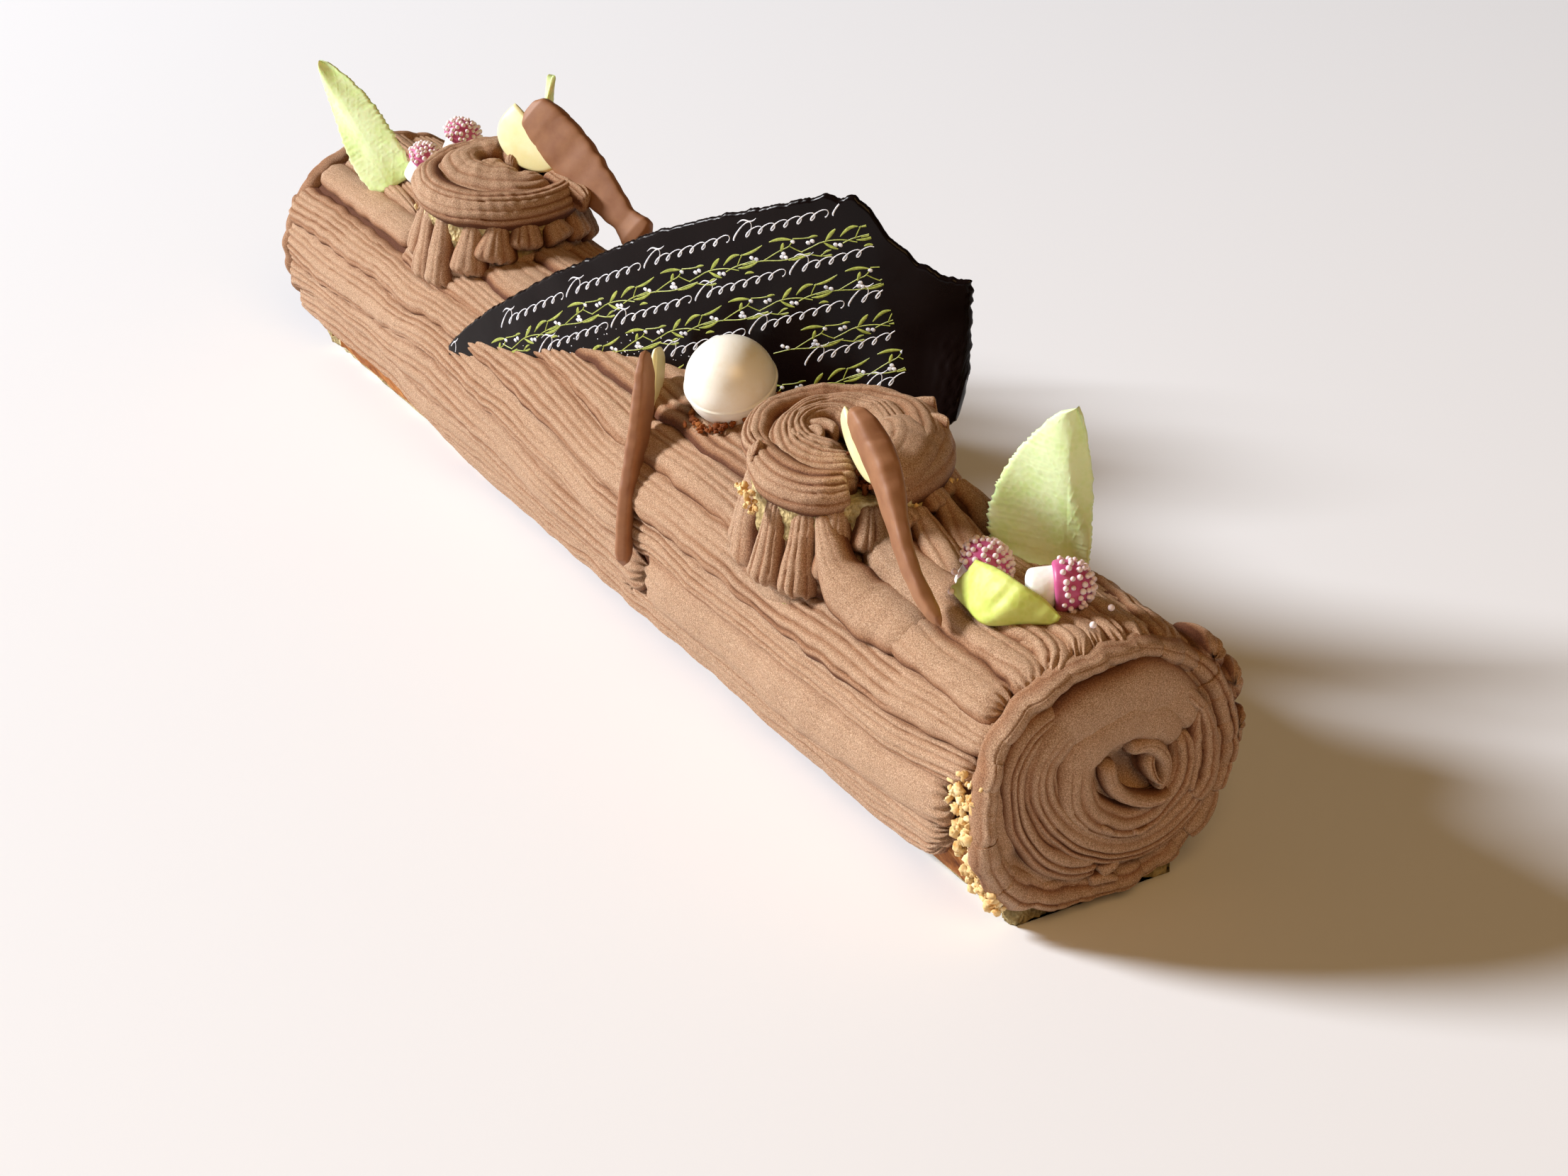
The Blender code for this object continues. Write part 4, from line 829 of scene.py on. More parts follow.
DARK = dark_chocolate()
WHITE_PRINT = printed("white cocoa-butter print", "C9CCD6", "F4F5FA")
GREEN_PRINT = printed("olive cocoa-butter print", "8E9A3C", "B4BE5A")
PEARL = pearl_lustre()
MILK = moulded_chocolate("moulded milk chocolate", "8C5C3C", "9E6E4A", 0.58)
PALE = moulded_chocolate("moulded white chocolate", "F3E9A8", "FBF5C4", 0.38)
LEAF_GREEN = sugar_paste("pale green sugar paste", "DCF6A4", "ECFFC4")
BENT_GREEN = sugar_paste("bright green sugar paste", "C3D25A", "D3DE78")
STEM_WHITE = sugar_paste("white sugar paste", "F1EDE6", "FBF9F5")
CAP_PINK = moulded_chocolate("magenta fondant", "BE4C80", "D0689A", 0.4)
NONPAREIL = moulded_chocolate("pale pink nonpareil sugar", "F0D6DA", "FBEFEF", 0.45)
BROWN_CRUMB = baked_skin("dark genoise crumb", "5E2E10", "8A4A1C", "B4763A")
TOASTED_CRUMB = baked_skin("toasted genoise crumb", "C9924C", "F0D298", "FFF2D0")
BROWN_CRUMB.name = "browned cake crumb"

# The plaque: a sheet bent round an upright axis, by its crown and foot along the bend
PLAQUE_RADIUS = 0.3035
PLAQUE_FACES = math.radians(-65.5)
PLAQUE_THICK = 0.0022
CROWN = [
    (-0.0931, 0.0480), (-0.0830, 0.0570), (-0.0707, 0.0664), (-0.0410, 0.0859), (-0.0018, 0.1081), (0.0200, 0.1172),
    (0.0400, 0.1242), (0.0522, 0.1286), (0.0565, 0.1283), (0.0605, 0.1296), (0.0647, 0.1265), (0.0701, 0.1195),
    (0.0784, 0.1135), (0.0860, 0.1106), (0.0933, 0.1103),
]
FOOT = [
    (-0.0931, 0.0440), (-0.0700, 0.0510), (-0.0350, 0.0604), (0.0, 0.0665), (0.0300, 0.0679), (0.0600, 0.0640),
    (0.0850, 0.0655), (0.0911, 0.0720), (0.0933, 0.0840),
]


def plaque_axis():
    """The upright line that the sheet is bent round, from its CAD node's box."""
    low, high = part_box("chocolate_plaque")
    turns = PLAQUE_FACES + np.array([-0.0931, 0.0933]) / PLAQUE_RADIUS
    spread = np.cos(turns) * PLAQUE_RADIUS
    x = (low[0] + high[0] - spread.min() - spread.max()) / 2
    return np.array([x + 0.0004, 0.2653 + MIDDLE_Y])


AXIS = plaque_axis()


def on_plaque(along, height, depth):
    """Points of the bent sheet: depth is how far behind its front face."""
    along, height, depth = np.broadcast_arrays(*(np.asarray(v, float) for v in (along, height, depth)))
    # below the fold line near its outer end the sheet has cracked and leans forwards
    fold = ease(along, 0.060, 0.072) * np.clip(0.0905 - height - 0.02 * (along - 0.07), 0, 1)
    turn = PLAQUE_FACES + along / PLAQUE_RADIUS
    reach = PLAQUE_RADIUS - depth + 0.16 * fold
    return np.stack([AXIS[0] + reach * np.cos(turn), AXIS[1] + reach * np.sin(turn), height], axis=-1)


def edge_of(table, along, seed):
    """A broken edge's height along the sheet."""
    level = np.interp(along, [p[0] for p in table], [p[1] for p in table])
    return level + 0.35 * MM * wander(seed, 0.006, along) + 0.18 * MM * wander(seed + 1, 0.0018, along)


def plaque():
    bm = bmesh.new()
    columns, half = 320, 46
    made, i, j = new_grid(bm, columns, 2 * half)
    lane = np.concatenate([[0, 0.0003, 0.0009], np.linspace(0.0020, 0.1844, columns - 5), [0.1855, 0.1861, 0.1864]])
    along = -0.0931 + lane[i]
    inward = np.minimum(lane, 0.1864 - lane)[i]
    share = np.where(j <= half, j / half, (2 * half - j) / half)
    foot, crown = edge_of(FOOT, along, 41), edge_of(CROWN, along, 43)
    torn = ease(along, 0.080, 0.090) * ease(-foot + crown, 0.0, 0.03)
    height = foot + np.maximum(crown - foot, 0.0012) * (0.5 - 0.5 * np.cos(math.pi * share)) ** 0.9
    near_edge = np.minimum(np.minimum(height - foot, crown - height), inward)
    thick = PLAQUE_THICK / 2 * np.sqrt(np.clip(near_edge / 0.0009, 0, 1))
    thick = thick * (1 + 0.9 * torn * ease(-height, -0.100, -0.085))
    face = np.where(j <= half, -1.0, 1.0)
    rough = 0.25 * MM * wander(47, 0.003, along, height) * torn * ease(-height, -0.096, -0.088)
    wave = 0.25 * MM * wander(45, 0.030, along, height)
    depth = PLAQUE_THICK / 2 + wave + face * (thick + rough * (thick > 0))
    along = along + 0.5 * MM * wander(49, 0.004, height) * ease(along, 0.088, 0.0933)
    place_vertices(made, on_plaque(along, height, depth))
    finish_piece("plaque_sheet", bm, DARK, ["chocolate_plaque"])


def print_line(bm, rows, lift=0.10 * MM):
    """One printed stroke on the sheet's front, from (along, height, half width) rows; it keeps inside the edges."""
    rows = np.array(rows)
    keep = (rows[:, 1] < np.interp(rows[:, 0], *zip(*CROWN)) - 0.0012) & (rows[:, 0] > -0.0915)
    keep &= rows[:, 0] < 0.0633 + (0.1267 - rows[:, 1]) * 0.302
    keep &= rows[:, 1] > np.interp(rows[:, 0], *zip(*FOOT)) + 0.0015
    if keep.sum() < 3 or not keep.all():
        first = int(np.argmax(keep))
        last = first + int(np.argmin(np.append(keep[first:], False)))
        rows = rows[first:last]
        if len(rows) < 3:
            return
    made, i, j = new_grid(bm, len(rows) - 1, 3)
    ahead = unit(np.gradient(rows[:, :2], axis=0) + 1e-9)
    across = np.array([[-1.0], [-0.45], [0.45], [1.0]])[j][:, 0]
    middle, width = rows[i, :2], rows[i, 2]
    along = middle[:, 0] - ahead[i, 1] * width * across
    height = middle[:, 1] + ahead[i, 0] * width * across
    wave = 0.25 * MM * wander(45, 0.030, along, height)
    depth = wave - np.where(np.abs(across) < 0.9, lift, -0.06 * MM)
    place_vertices(made, on_plaque(along, height, depth))


def row_height(along, row):
    return 0.0993 + 0.50 * along - (1.1 - 0.3 * row) * along**2 - 0.0143 * row


def running_scroll(bm, row):
    """A row of penman's flourishes, drawn with a broad pen: each a tall loop and a run of small ones."""
    for k in range(-4, 5):
        start = -0.0636 + 0.0172 * row + 0.0296 * k
        t = np.linspace(0, 1, 110)
        loops = 14 * math.pi * t
        tall = 0.0011 + 0.0010 * np.exp(-(((t - 0.07) / 0.07) ** 2))
        rise = tall * (1 - np.cos(loops))
        x = start + 0.0272 * t - 0.0013 * np.sin(loops) + 0.55 * rise
        width = (0.17 + 0.15 * np.clip(np.sin(loops + 0.6), 0, 1)) * MM
        print_line(bm, np.stack([x, row_height(x, row) + rise, width], axis=1))
        x = start + 0.0010 + 0.0058 * t
        print_line(bm, np.stack([x, row_height(x, row) + 0.0046 + 0.0005 * np.sin(2 * math.pi * t), (0.10 + 0.18 * np.sin(math.pi * t)) * MM], axis=1))


# One length of mistletoe garland, in millimetres along the row and above its scrolls
TWIGS = (
    ((-2.8, -7.7), (1.9, -7.8), (11.3, -9.3), (14.1, -9.1), (17.8, -9.0)), ((3.4, -8.1), (9.0, -6.2), (11.4, -5.6), (12.7, -3.9)),
    ((11.4, -5.6), (13.8, -7.3), (15.4, -8.3)), ((15.1, -8.1), (18.1, -7.4), (20.5, -6.8), (21.8, -6.8)),
    ((17.4, -9.3), (21.4, -10.7), (23.7, -10.8)), ((20.8, -10.4), (22.1, -9.8), (23.6, -9.5)),
    ((21.1, -6.7), (23.4, -6.8), (27.0, -7.4), (31.1, -8.9)), ((27.0, -8.3), (29.2, -7.7), (32.4, -7.4), (36.4, -7.3)),
    ((30.5, -7.7), (31.1, -6.3), (32.1, -4.5)), ((12.5, -3.8), (16.2, -4.5), (19.5, -4.6)),
)
GARLAND_LEAVES = (  # from, to, width, bow
    (5.4, -3.1, 12.1, -4.0, 1.1, 0.5), (9.0, -6.6, 9.7, -4.3, 1.2, 0.1), (16.9, -4.7, 19.7, -4.7, 0.8, 0.2), (22.0, -6.6, 24.8, -3.9, 1.3, 0.2),
    (21.5, -7.0, 25.7, -9.7, 1.1, -0.2), (26.2, -6.3, 31.2, -4.5, 1.1, 0.9), (31.5, -4.8, 38.2, -3.5, 0.9, -0.5),
    (33.0, -10.4, 35.7, -10.7, 0.9, 0.3), (30.8, -8.2, 36.8, -7.9, 1.0, -0.5), (11.3, -9.6, 17.8, -9.0, 0.9, -0.4),
    (21.1, -10.6, 24.0, -10.9, 0.7, -0.2), (21.4, -9.8, 23.7, -9.5, 0.5, 0.2),
)
BERRIES = (
    (0.0, -6.3), (1.5, -7.1), (12.5, -4.6), (17.0, -6.0), (18.2, -5.8), (9.8, -7.4), (9.3, -8.2), (10.5, -8.6), (24.9, -8.3), (26.3, -8.7),
)


def mistletoe_row(green, white, row):
    """A garland of mistletoe: forked twigs, narrow leaves and white berries."""
    for k in range(-3, 4):
        base = -4.4 - 12.7 * row + 35.0 * k
        if row == 2 and k == 1:
            continue

        def at(u, v):
            x = (base + np.asarray(u, float)) * MM
            return x, row_height(x, row) + np.asarray(v, float) * MM

        for twig in TWIGS:
            points = through(twig, 20)
            x, y = at(points[:, 0], points[:, 1])
            print_line(green, np.stack([x, y, np.full(20, 0.19 * MM)], axis=1))
        t = np.linspace(0, 1, 14)
        for u0, v0, u1, v1, wide, bow in GARLAND_LEAVES:
            x, y = at(u0 + (u1 - u0) * t, v0 + (v1 - v0) * t + bow * np.sin(math.pi * t))
            half = wide / 2 * np.sin(math.pi * np.clip(t, 0.04, 0.96)) ** 0.6
            print_line(green, np.stack([x, y, half * MM], axis=1))
        t = np.linspace(-1, 1, 11)
        for u, v in BERRIES:
            x, y = at(u + 0.66 * t, v)
            print_line(white, np.stack([x, np.full(11, y[5]), 0.66 * MM * np.sqrt(np.clip(1 - t**2, 0.02, 1))], axis=1), 0.16 * MM)


def plaque_print():
    white, green = bmesh.new(), bmesh.new()
    for row in range(5):
        running_scroll(white, row)
        if row < 4:
            mistletoe_row(green, white, row)
    dice = np.random.default_rng(77)
    for _ in range(90):  # cocoa butter rubbed off as dust by the ball and the hatchet
        x = dice.normal(-0.012, 0.022)
        y = float(np.interp(x, *zip(*FOOT))) + abs(dice.normal(0.004, 0.006))
        r = dice.uniform(0.0001, 0.00028)
        t = np.linspace(-1, 1, 5)
        print_line(white, np.stack([x + r * t, np.full(5, y), r * np.sqrt(np.clip(1 - t**2, 0.05, 1))], axis=1), 0.12 * MM)
    finish_piece("plaque_print_white", white, WHITE_PRINT, [], merge=0)
    finish_piece("plaque_print_green", green, GREEN_PRINT, [], merge=0)


def ball():
    """A moulded ball in two halves, whose joint leaves a fine raised seam."""
    bm = bmesh.new()
    low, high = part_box("pearl_ball")
    radius = (high[2] - low[2]) / 2
    bmesh.ops.create_uvsphere(bm, u_segments=96, v_segments=120, radius=radius)
    for v in bm.verts:
        up = v.co.z / radius
        ridge = 0.00042 * math.exp(-((up / 0.018) ** 2)) - 0.00012 * math.exp(-(((abs(up) - 0.05) / 0.02) ** 2))
        v.co *= 1 + ridge / radius
    tilt = Vector((0, 0, 1)).rotation_difference(seam_normal()).to_matrix().to_4x4()
    bmesh.ops.transform(bm, verts=bm.verts, matrix=tilt)
    settle(bm, "pearl_ball")
    finish_piece("ball_shell", bm, PEARL, ["pearl_ball"])


def seam_normal():
    right, up, back = Vector((0.51, 0.86, 0)), Vector((-0.402, 0.238, 0.884)), Vector((0.76, -0.452, 0.467))
    level = up * math.cos(0.22) - right * math.sin(0.22)
    return level * math.cos(0.85) + back * math.sin(0.85)


# Head, foot and the way the blade points; then the handle's half width and half thickness by share of its length
KNOB = ([(0, 0.0), (0.012, 3.2), (0.04, 5.4), (0.10, 6.8), (0.20, 7.5), (0.35, 7.9), (0.50, 7.2), (0.65, 6.0), (0.76, 4.9),
         (0.83, 4.2), (0.87, 4.7), (0.91, 5.8), (0.95, 5.7), (0.98, 4.2), (0.995, 2.0), (1.0, 0.0)],
        [(0, 0.0), (0.012, 1.8), (0.05, 2.8), (0.15, 3.2), (0.30, 2.8), (0.50, 2.3), (0.76, 1.8), (0.84, 1.8), (0.91, 2.5),
         (0.96, 2.2), (0.99, 1.2), (1.0, 0.0)])
POINT = ([(0, 0.0), (0.012, 2.2), (0.04, 4.0), (0.10, 5.2), (0.30, 5.8), (0.60, 4.4), (0.85, 3.2), (0.97, 2.0), (1.0, 0.0)],
         [(0, 0.0), (0.012, 1.3), (0.04, 2.2), (0.10, 3.1), (0.17, 3.5), (0.30, 3.5), (0.42, 3.1), (0.55, 2.3), (0.70, 1.8),
          (0.86, 1.9), (0.93, 1.7), (0.98, 0.8), (1.0, 0.0)])
SLIM = ([(0, 0.0), (0.012, 2.2), (0.04, 4.0), (0.10, 5.2), (0.30, 5.8), (0.60, 4.4), (0.85, 3.2), (0.97, 2.4), (1.0, 0.0)],
        [(0, 0.0), (0.012, 0.9), (0.05, 1.3), (0.12, 1.9), (0.22, 2.2), (0.45, 2.2), (0.65, 2.1), (0.85, 2.1), (0.94, 2.0), (0.98, 1.4),
         (1.0, 0.0)])
HATCHETS = (
    ("near", (0.1290, -0.0222, 0.1052), (0.1750, -0.0254, 0.0680), (-0.635, 0.242, -0.733), POINT, 1.4, 1.0, (0, 0, 0)),
    ("mid", (0.0289, -0.0250, 0.0837), (0.0430, -0.0405, 0.0300), (-0.632, 0.667, -0.467), SLIM, 0.6, 1.0, (0.0014, 0.0024, -0.0036)),
    ("far", (-0.1090, 0.0092, 0.1070), (-0.0634, 0.0229, 0.0760), (-0.375, -0.518, -0.769), KNOB, 0.4, 1.22, (0, 0, 0)),
)


def hatchet(name, head, knob, blade_side, outline, bow, swell, nudge, seed):
    """A moulded hatchet: a flat milk-chocolate handle over a white blade."""
    place = frame_of(head, Vector(knob) - Vector(head), blade_side)
    wide, deep = outline
    bm = bmesh.new()
    made, i, j = new_grid(bm, 120, 48)
    share = (1 - np.cos(math.pi * i / 120)) / 2
    turn = 2 * math.pi * j / 48
    half_wide = np.interp(share, *zip(*wide)) * MM * (1 + 0.04 * wander(seed, 0.12, share))
    half_deep = np.interp(share, *zip(*deep)) * MM * (1 + 0.06 * wander(seed + 3, 0.18, share))
    c, s = np.cos(turn), np.sin(turn)
    y = half_wide * np.sign(c) * np.abs(c) ** 0.55
    z = half_deep * np.sign(s) * np.abs(s) ** 0.55
    relief = 0.25 * MM * np.exp(-(((share - 0.20 - 0.02 * s) / 0.010) ** 2)) + 0.2 * MM * np.exp(-(((share - 0.34) / 0.012) ** 2))
    y = y - np.sign(y) * relief + 0.12 * MM * wander(seed + 1, 0.010, share * 0.059, z)
    sway = bow * MM * (np.sin(math.pi * share * 1.9) + 0.3 * np.sin(7 * share))
    place_vertices(made, np.stack([share * 0.0590, y, z + sway], axis=-1))
    bmesh.ops.transform(bm, verts=bm.verts, matrix=place)
    bmesh.ops.remove_doubles(bm, verts=bm.verts, dist=1e-6)
    settle(bm, f"{name}_hatchet_handle")
    finish_piece(f"{name}_handle", bm, MILK, [f"{name}_hatchet_handle"])

    bm = bmesh.new()
    made, i, j = new_grid(bm, 48, 64)
    rim = j / 64 * math.pi
    across = i / 48
    side = np.where(across <= 0.5, 1.0, -1.0)
    grow = np.where(across <= 0.5, 2 * across, 2 - 2 * across)
    x = 0.0070 - grow * (0.0105 * np.cos(rim) + 0.0030 * np.sin(rim)) - (1 - grow) * 0.0010
    y = 0.0055 + grow * 0.0110 * np.sin(rim) ** 0.75
    z = side * 0.0013 * np.sqrt(np.clip(1 - grow**6, 0, 1)) * np.clip(0.55 + 0.45 * (1 - grow), 0, 1)
    place_vertices(made, np.stack([x, y, z], axis=-1))
    bmesh.ops.transform(bm, verts=bm.verts, matrix=place)
    bmesh.ops.remove_doubles(bm, verts=bm.verts, dist=1e-6)
    bmesh.ops.holes_fill(bm, edges=[edge for edge in bm.edges if edge.is_boundary])
    settle(bm, f"{name}_hatchet_blade")
    corner = Vector(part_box(f"{name}_hatchet_blade")[0])
    bmesh.ops.scale(bm, verts=bm.verts, vec=(swell, swell, swell), space=Matrix.Translation(-corner))
    bmesh.ops.translate(bm, verts=bm.verts, vec=nudge)
    finish_piece(f"{name}_blade", bm, PALE, [f"{name}_hatchet_blade"])


# Base, tip, the way its right half points, then its left and right half widths and how far it is folded
LEAVES = (
    ("near_leaf", (0.1668, 0.0150, 0.0670), (0.1685, 0.0158, 0.1120), (0.82, 0.57, 0.0), 0.0205, 0.0066, 0.3),
    ("far_leaf", (-0.1640, -0.0140, 0.0680), (-0.1902, -0.0265, 0.1054), (0.70, 0.62, 0.35), 0.0085, 0.0105, 0.2),
    ("hidden_leaf", (-0.1420, 0.0285, 0.0560), (-0.1310, 0.0300, 0.1075), (-0.76, 0.45, -0.47), 0.0080, 0.0080, 0.2),
)


def leaf(name, base, tip, side, left, right, fold, seed):
    """A leaf cut from rolled sugar paste, toothed, folded along its midrib and scored with veins."""
    base, tip = Vector(base), Vector(tip)
    length = (tip - base).length
    place = frame_of(base, tip - base, side)
    bm = bmesh.new()
    made, i, j = new_grid(bm, 150, 100)
    share = i / 150
    front = j <= 50
    across = np.where(front, -1 + 2 * j / 50, 3 - 2 * j / 50)
    broad = np.interp(share, [0, 0.06, 0.16, 0.30, 0.45, 0.60, 0.75, 0.88, 0.96, 1.0],
                      [0.60, 0.90, 1.0, 1.0, 0.93, 0.79, 0.59, 0.37, 0.20, 0.0])
    half = np.where(across < 0, left, right) * broad
    teeth = np.abs((share * 24 + 0.9 * wander(seed + 40, 0.13, share)) % 1.0 - 0.35)
    half = half * (0.965 + 0.07 * teeth) + 0.35 * MM * wander(seed, 0.10, share, np.sign(across)) * broad
    edge = np.abs(across)
    y = across * half
    lift = np.where(across < 0, 0.10, fold) * np.abs(y)
    curl = 0.0016 * np.sin(3.0 * share + seed) + 0.0009 * np.sin(7 * share + 3 * across)
    veins = (share * 7 - 2.2 * edge) % 1.0
    score = np.exp(-((np.minimum(veins, 1 - veins) / 0.05) ** 2)) * ease(edge, 0.04, 0.16) * ease(1 - edge, 0.10, 0.35)
    score = score * ease(wander(seed + 20, 0.5, 8 * share, 3 * across), -0.3, 0.3)
    midrib = np.exp(-((y / 0.00055) ** 2)) * ease(1 - share, 0.03, 0.3)
    thick = 0.0006 * np.sqrt(np.clip((1 - edge) / 0.08, 0, 1)) * np.sqrt(np.clip(share / 0.02, 0, 1) * np.clip((1 - share) / 0.02, 0, 1))
    z = lift + curl + np.where(front, 1, -1) * thick
    z += np.where(front, 1, 0.5) * (0.28 * MM * midrib - 0.28 * MM * score)
    place_vertices(made, np.stack([share * length, y, z], axis=-1))
    bmesh.ops.transform(bm, verts=bm.verts, matrix=place)
    finish_piece(f"{name}_paste", bm, LEAF_GREEN, [name])


def bent_leaf():
    """A short torn piece of thicker leaf that leans on the toadstools."""
    lower = [(0.1655, -0.0178, 0.0712), (0.1735, -0.0190, 0.0708), (0.1828, -0.0194, 0.0702), (0.1885, -0.0135, 0.0712),
             (0.1940, -0.0080, 0.0722)]
    upper = [(0.1702, -0.0138, 0.0802), (0.1780, -0.0130, 0.0812), (0.1872, -0.0120, 0.0806), (0.1912, -0.0088, 0.0780),
             (0.1952, -0.0068, 0.0745)]
    low, high = through(lower, 81), through(upper, 81)
    bm = bmesh.new()
    made, i, j = new_grid(bm, 80, 72)
    front = j <= 36
    share = np.where(front, j / 36, 2 - j / 36)
    along = i / 80
    out = np.array([0.62, -0.55, 0.56])
    points = low[i] + (high[i] - low[i]) * share[:, None]
    bulge = 1.9 * MM * np.sin(math.pi * share) ** 0.8 * np.sin(math.pi * np.clip(along * 1.05, 0, 1)) ** 0.7
    crease = -0.9 * MM * np.exp(-(((along - 0.52 - 0.10 * (share - 0.5)) / 0.07) ** 2)) * np.sin(math.pi * share)
    thick = 0.95 * MM * np.sqrt(np.clip(np.minimum(share, 1 - share) / 0.12, 0, 1)) * np.sqrt(np.clip(np.minimum(along, 1 - along) / 0.02, 0, 1))
    level = bulge + crease + np.where(front, 1, -1) * thick + 0.15 * MM * wander(61, 0.004, points[:, 0], points[:, 1], points[:, 2])
    ragged = 0.5 * MM * wander(62, 0.0022, points[:, 2], points[:, 1]) * (np.exp(-along / 0.04) + np.exp(-(1 - along) / 0.04))
    points = points + out * level[:, None] + np.array([0.9, 0.3, 0.0]) * ragged[:, None]
    place_vertices(made, points)
    settle(bm, "bent_leaf")
    finish_piece("bent_leaf_paste", bm, BENT_GREEN, ["bent_leaf"])


TOADSTOOLS = (
    ("near_left", (0.1665, -0.0073, 0.0768), (0.35, 0.30, 0.88), 0.0064, 1.0),
    ("near_right", (0.1883, 0.0001, 0.0778), (0.51, 0.85, 0.09), 0.0062, 1.3),
    ("far_left", (-0.1534, -0.0067, 0.0800), (0.31, 0.42, 0.85), 0.0060, 1.0),
    ("far_right", (-0.1725, 0.0148, 0.0790), (0.25, 0.35, 0.90), 0.0062, 1.0),
)


def turned_solid(profile, around=56):
    """A closed bmesh spun round X from (distance, radius) points."""
    bm = bmesh.new()
    rows = np.array(profile)
    made, i, j = new_grid(bm, len(rows) - 1, around)
    turn = 2 * math.pi * j / around
    place_vertices(made, np.stack([rows[i, 0], rows[i, 1] * np.cos(turn), rows[i, 1] * np.sin(turn)], axis=-1))
    bmesh.ops.remove_doubles(bm, verts=bm.verts, dist=1e-6)
    return bm


def toadstool(name, cap_centre, axis, radius, plump, seed):
    """A plump white stem under a fondant cap, half covered in nonpareils."""
    axis = Vector(axis).normalized()
    length = 1.15 * radius
    place = frame_of(Vector(cap_centre) - axis * (length + 0.5 * radius), axis, (0.3, 0.2, -0.9))
    stem = through([(0, 0), (0.02, 0.40), (0.15, 0.70), (0.50, 0.82), (0.85, 0.78), (1.0, 0.74), (1.01, 0.0)], 34)
    stem = np.stack([stem[:, 0] * length, np.maximum(stem[:, 1], 0) * radius], axis=1)
    stem[0, 1] = stem[-1, 1] = 0
    bm = turned_solid(stem)
    for v in bm.verts:
        v.co.y += 0.12 * radius * math.sin(3 * v.co.x / length)
    bmesh.ops.transform(bm, verts=bm.verts, matrix=place)
    settle(bm, f"{name}_toadstool_stem")
    finish_piece(f"{name}_stem", bm, STEM_WHITE, [f"{name}_toadstool_stem"])

    cap = [(0.12, 0.0), (0.06, 0.60), (0.0, 0.84), (0.04, 0.95), (0.16, 1.0), (0.35, 0.99), (0.58, 0.91), (0.78, 0.77), (0.95, 0.56),
           (1.06, 0.30), (1.10, 0.0)]
    rows = through(cap, 44)
    rows = np.stack([length + rows[:, 0] * radius * plump, np.maximum(rows[:, 1], 0) * radius], axis=1)
    rows[0, 1] = rows[-1, 1] = 0
    bm = turned_solid(rows, 64)
    bmesh.ops.transform(bm, verts=bm.verts, matrix=place)
    settle(bm, f"{name}_toadstool_cap")
    finish_piece(f"{name}_cap", bm, CAP_PINK, [f"{name}_toadstool_cap"])

    beads = bmesh.new()
    dice = np.random.default_rng(seed)
    heart = place @ Vector((length + 0.22 * radius, 0, 0))
    placed = []
    for _ in range(1600):
        way = Vector(dice.normal(size=3)).normalized()
        lift = way.dot(axis)
        if lift < -0.05 + 0.25 * dice.random() or any((way - other).length < 0.215 for other in placed):
            continue
        placed.append(way)
        if len(placed) >= 84:
            break
    for way in placed:
        size = dice.uniform(0.62, 0.80) * MM
        distance = radius * (0.99 if way.dot(axis) < 0.75 else 0.93) + 0.45 * size
        new = bmesh.ops.create_icosphere(beads, subdivisions=2, radius=size)["verts"]
        bmesh.ops.translate(beads, verts=new, vec=heart + way * distance + axis * (plump - 1) * radius * max(0, way.dot(axis)))
    bmesh.ops.translate(beads, verts=beads.verts, vec=(0, MIDDLE_Y, 0))
    finish_piece(f"{name}_nonpareils", beads, NONPAREIL, [], merge=0)


def scatter(name, material, spots, seed):
    """Loose crumbs or beads: each spot is its place, its size and how rough it is."""
    bm = bmesh.new()
    dice = np.random.default_rng(seed)
    for place, size, rough in spots:
        new = bmesh.ops.create_icosphere(bm, subdivisions=2, radius=size)["verts"]
        stretch = Vector([1 + rough * dice.uniform(-0.5, 0.5) for _ in range(3)])
        for v in new:
            bump = 1 + rough * dice.uniform(-0.45, 0.35)
            v.co = Vector((v.co.x * stretch.x, v.co.y * stretch.y, v.co.z * stretch.z)) * bump
        bmesh.ops.translate(bm, verts=new, vec=place)
    finish_piece(name, bm, material, [], merge=0)


plaque()
plaque_print()
ball()
for k, hatchet_row in enumerate(HATCHETS):
    hatchet(*hatchet_row, 2000 + 10 * k)
for k, leaf_row in enumerate(LEAVES):
    leaf(*leaf_row, 3 + k)
bent_leaf()
for k, row in enumerate(TOADSTOOLS):
    toadstool(*row, 2200 + k)


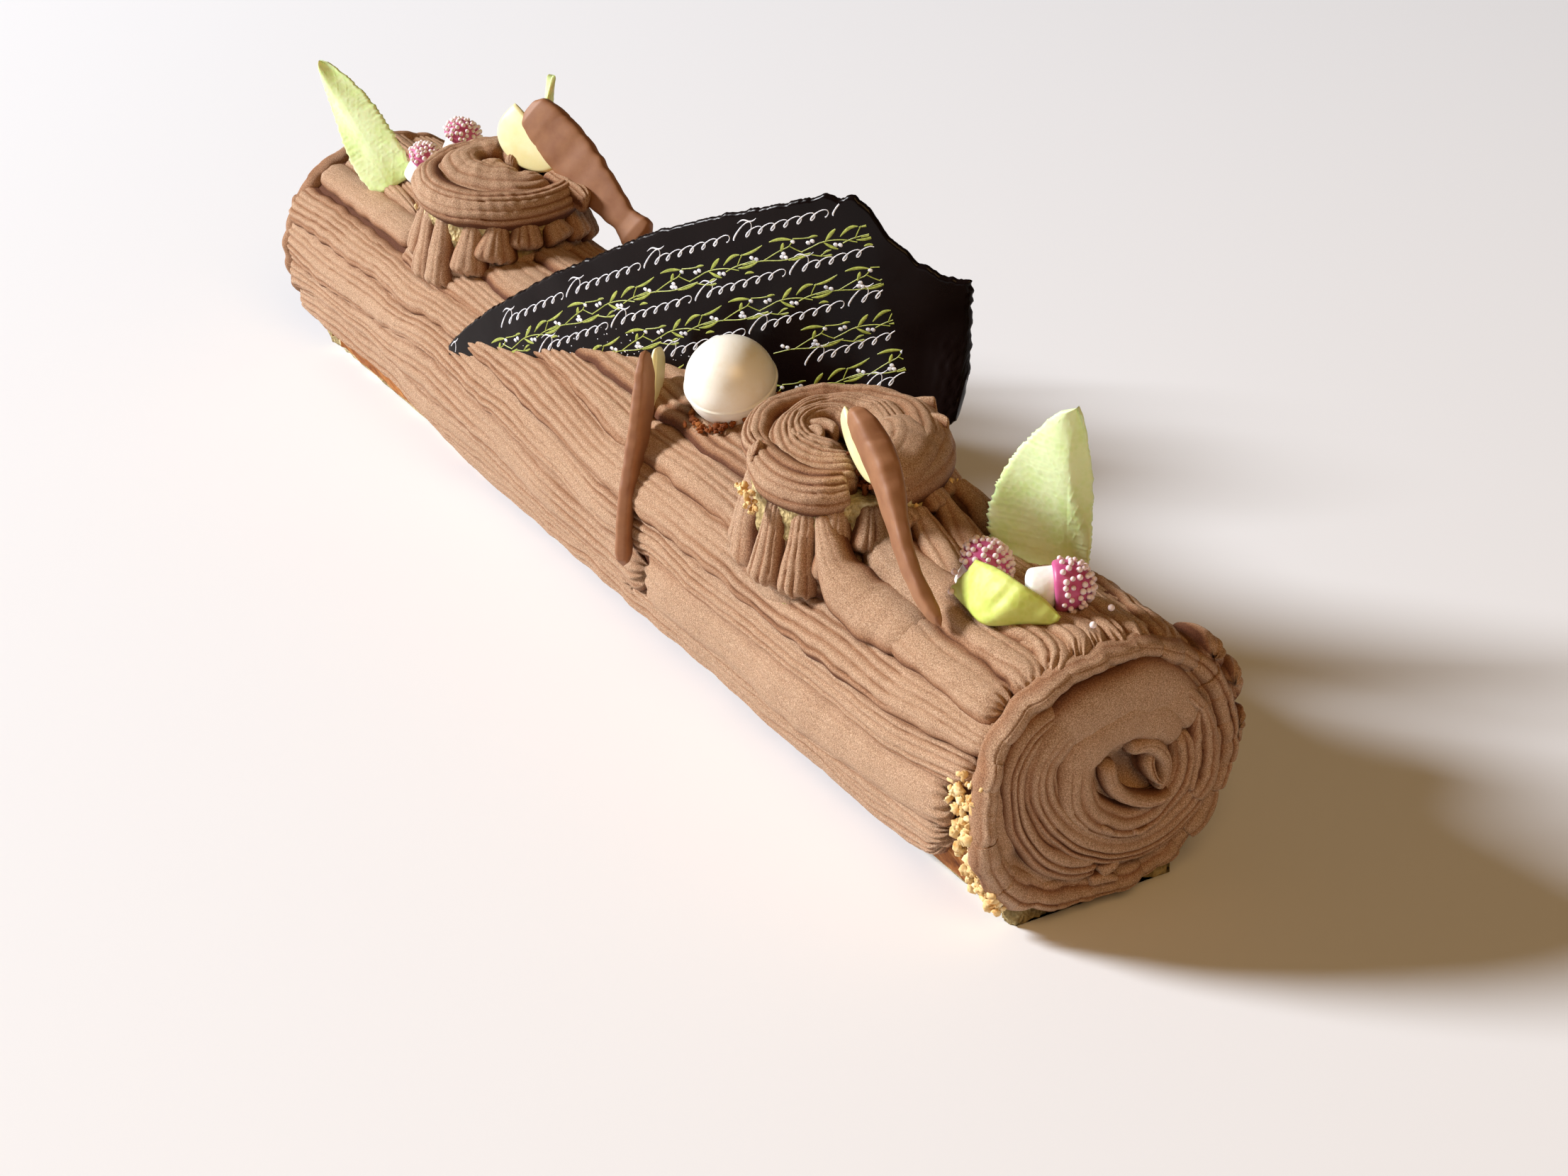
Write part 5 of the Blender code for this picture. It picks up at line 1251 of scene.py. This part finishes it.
def loose_bits():
    """Crumbs rubbed off the sponge, a ring of dark brown crumbs round the ball's foot as painted shade, and nonpareils
    that rolled away.
    """
    dice = np.random.default_rng(311)

    def around(x, y, z, spread, many, small, large):
        return [((np.array([x, y, z]) + dice.normal(0, 1, 3) * spread) * MM + [0, MIDDLE_Y, 0], dice.uniform(small, large) * MM, 0.9)
                for _ in range(many)]

    # painted shade: a ring of dark brown crumbs round the ball's foot stands for the shade on the cream there
    ball_shade_ring = []
    for _ in range(150):
        turn, reach = dice.uniform(0, 2 * math.pi), dice.normal(10.9, 0.9)
        x, y = 48.4 + reach * math.cos(turn), -9.6 + reach * math.sin(turn)
        ball_shade_ring.append((np.array([x * MM, y * MM + MIDDLE_Y, coat_top(y * MM + MIDDLE_Y) + 0.0016]), dice.uniform(0.35, 0.9) * MM, 0.9))
    brown = ball_shade_ring + around(127, -16.4, 83.0, (2.6, 1.4, 1.6), 40, 0.5, 1.1) + around(131.5, -16.0, 78.5, (2.4, 1.0, 2.4), 20, 0.5, 1.1)
    brown += around(-114.6, 20.3, 81.0, (2.6, 1.6, 1.4), 22, 0.5, 1.0)
    scatter("brown_crumbs", BROWN_CRUMB, brown, 5)
    pale = around(106.5, -39.6, 77.6, (2.2, 0.8, 0.5), 22, 0.4, 0.9) + around(111.3, -40.3, 76.4, (1.8, 0.8, 0.8), 12, 0.4, 0.8)
    pale += around(131, -5.1, 76.4, (1.4, 1.4, 1.0), 12, 0.5, 1.0) + around(127, 7.9, 76.4, (1.6, 1.2, 1.2), 12, 0.5, 1.1)
    pale += around(-120, -21.2, 76.6, (1.6, 1.6, 1.6), 14, 0.5, 1.1)
    for _ in range(150):  # torn sponge where the front ropes stop short of the near ring
        x, down = dice.uniform(196, 207.5), dice.uniform(50, 90)
        point, _ = on_coat(x * MM, down * MM, dice.uniform(-2.6, -0.6) * MM)
        pale.append((point, dice.uniform(0.5, 1.5) * MM, 0.9))
    scatter("pale_crumbs", TOASTED_CRUMB, pale, 7)
    beads = [(np.array(p) * MM + [0, MIDDLE_Y, 0], 0.85 * MM, 0.0)
             for p in ((162.4, -14.1, 73.4), (167.6, -18.5, 71.7), (199.0, 4.6, 75.6), (203.6, -3.9, 75.6))]
    scatter("loose_nonpareils", NONPAREIL, beads, 9)


loose_bits()

# ---- floor, light and camera ----


def stage():
    bm = bmesh.new()
    bmesh.ops.create_grid(bm, x_segments=1, y_segments=1, size=3.0)
    bmesh.ops.translate(bm, verts=bm.verts, vec=(0, 0, -0.0002))
    mesh = bpy.data.meshes.new("floor")
    bm.to_mesh(mesh)
    bm.free()
    made, _, _ = new_material("pale matt floor", Roughness=0.9, Base_Color=linear("EEF0F4"))
    mesh.materials.append(made)
    floor = bpy.data.objects.new("floor", mesh)
    bpy.context.scene.collection.objects.link(floor)


def lamp(name, place, aim, size, power, colour="FFFFFF"):
    light = bpy.data.lights.new(name, "AREA")
    light.shape = "DISK"
    light.size = size
    light.energy = power
    light.color = linear(colour)[:3]
    obj = bpy.data.objects.new(name, light)
    bpy.context.scene.collection.objects.link(obj)
    obj.location = place
    obj.rotation_euler = (Vector(aim) - Vector(place)).to_track_quat("-Z", "Y").to_euler()


def light_and_camera():
    world = bpy.data.worlds.new("soft room")
    world.use_nodes = True
    world.node_tree.nodes["Background"].inputs["Color"].default_value = linear("FFE8CC")
    world.node_tree.nodes["Background"].inputs["Strength"].default_value = 0.05
    bpy.context.scene.world = world
    lamp("key", (-2.9, -3.46, 2.5), (0, 0, 0.03), 1.3, 480.0, "F8F9FC")
    lamp("fill", (1.78, -0.48, 1.84), (0.05, 0, 0.05), 1.5, 19.0, "FFCC88")
    camera = bpy.data.cameras.new("camera")
    camera.sensor_width = 36.0
    camera.lens = 4012.5 / 2212 * 36.0
    camera.clip_start = 0.01
    seat = bpy.data.objects.new("camera", camera)
    bpy.context.scene.collection.objects.link(seat)
    right = Vector((0.5105, 0.8599, 0.0009))
    down = Vector((0.4023, -0.2379, -0.8841))
    ahead = Vector((-0.7600, 0.4517, -0.4674))
    turn = Matrix((right, -down, -ahead)).transposed().to_4x4()
    seat.matrix_world = Matrix.Translation((0.6555, MIDDLE_Y - 0.3542, 0.3850)) @ turn
    bpy.context.scene.camera = seat
    bpy.context.scene.view_settings.view_transform = "Standard"


stage()
light_and_camera()
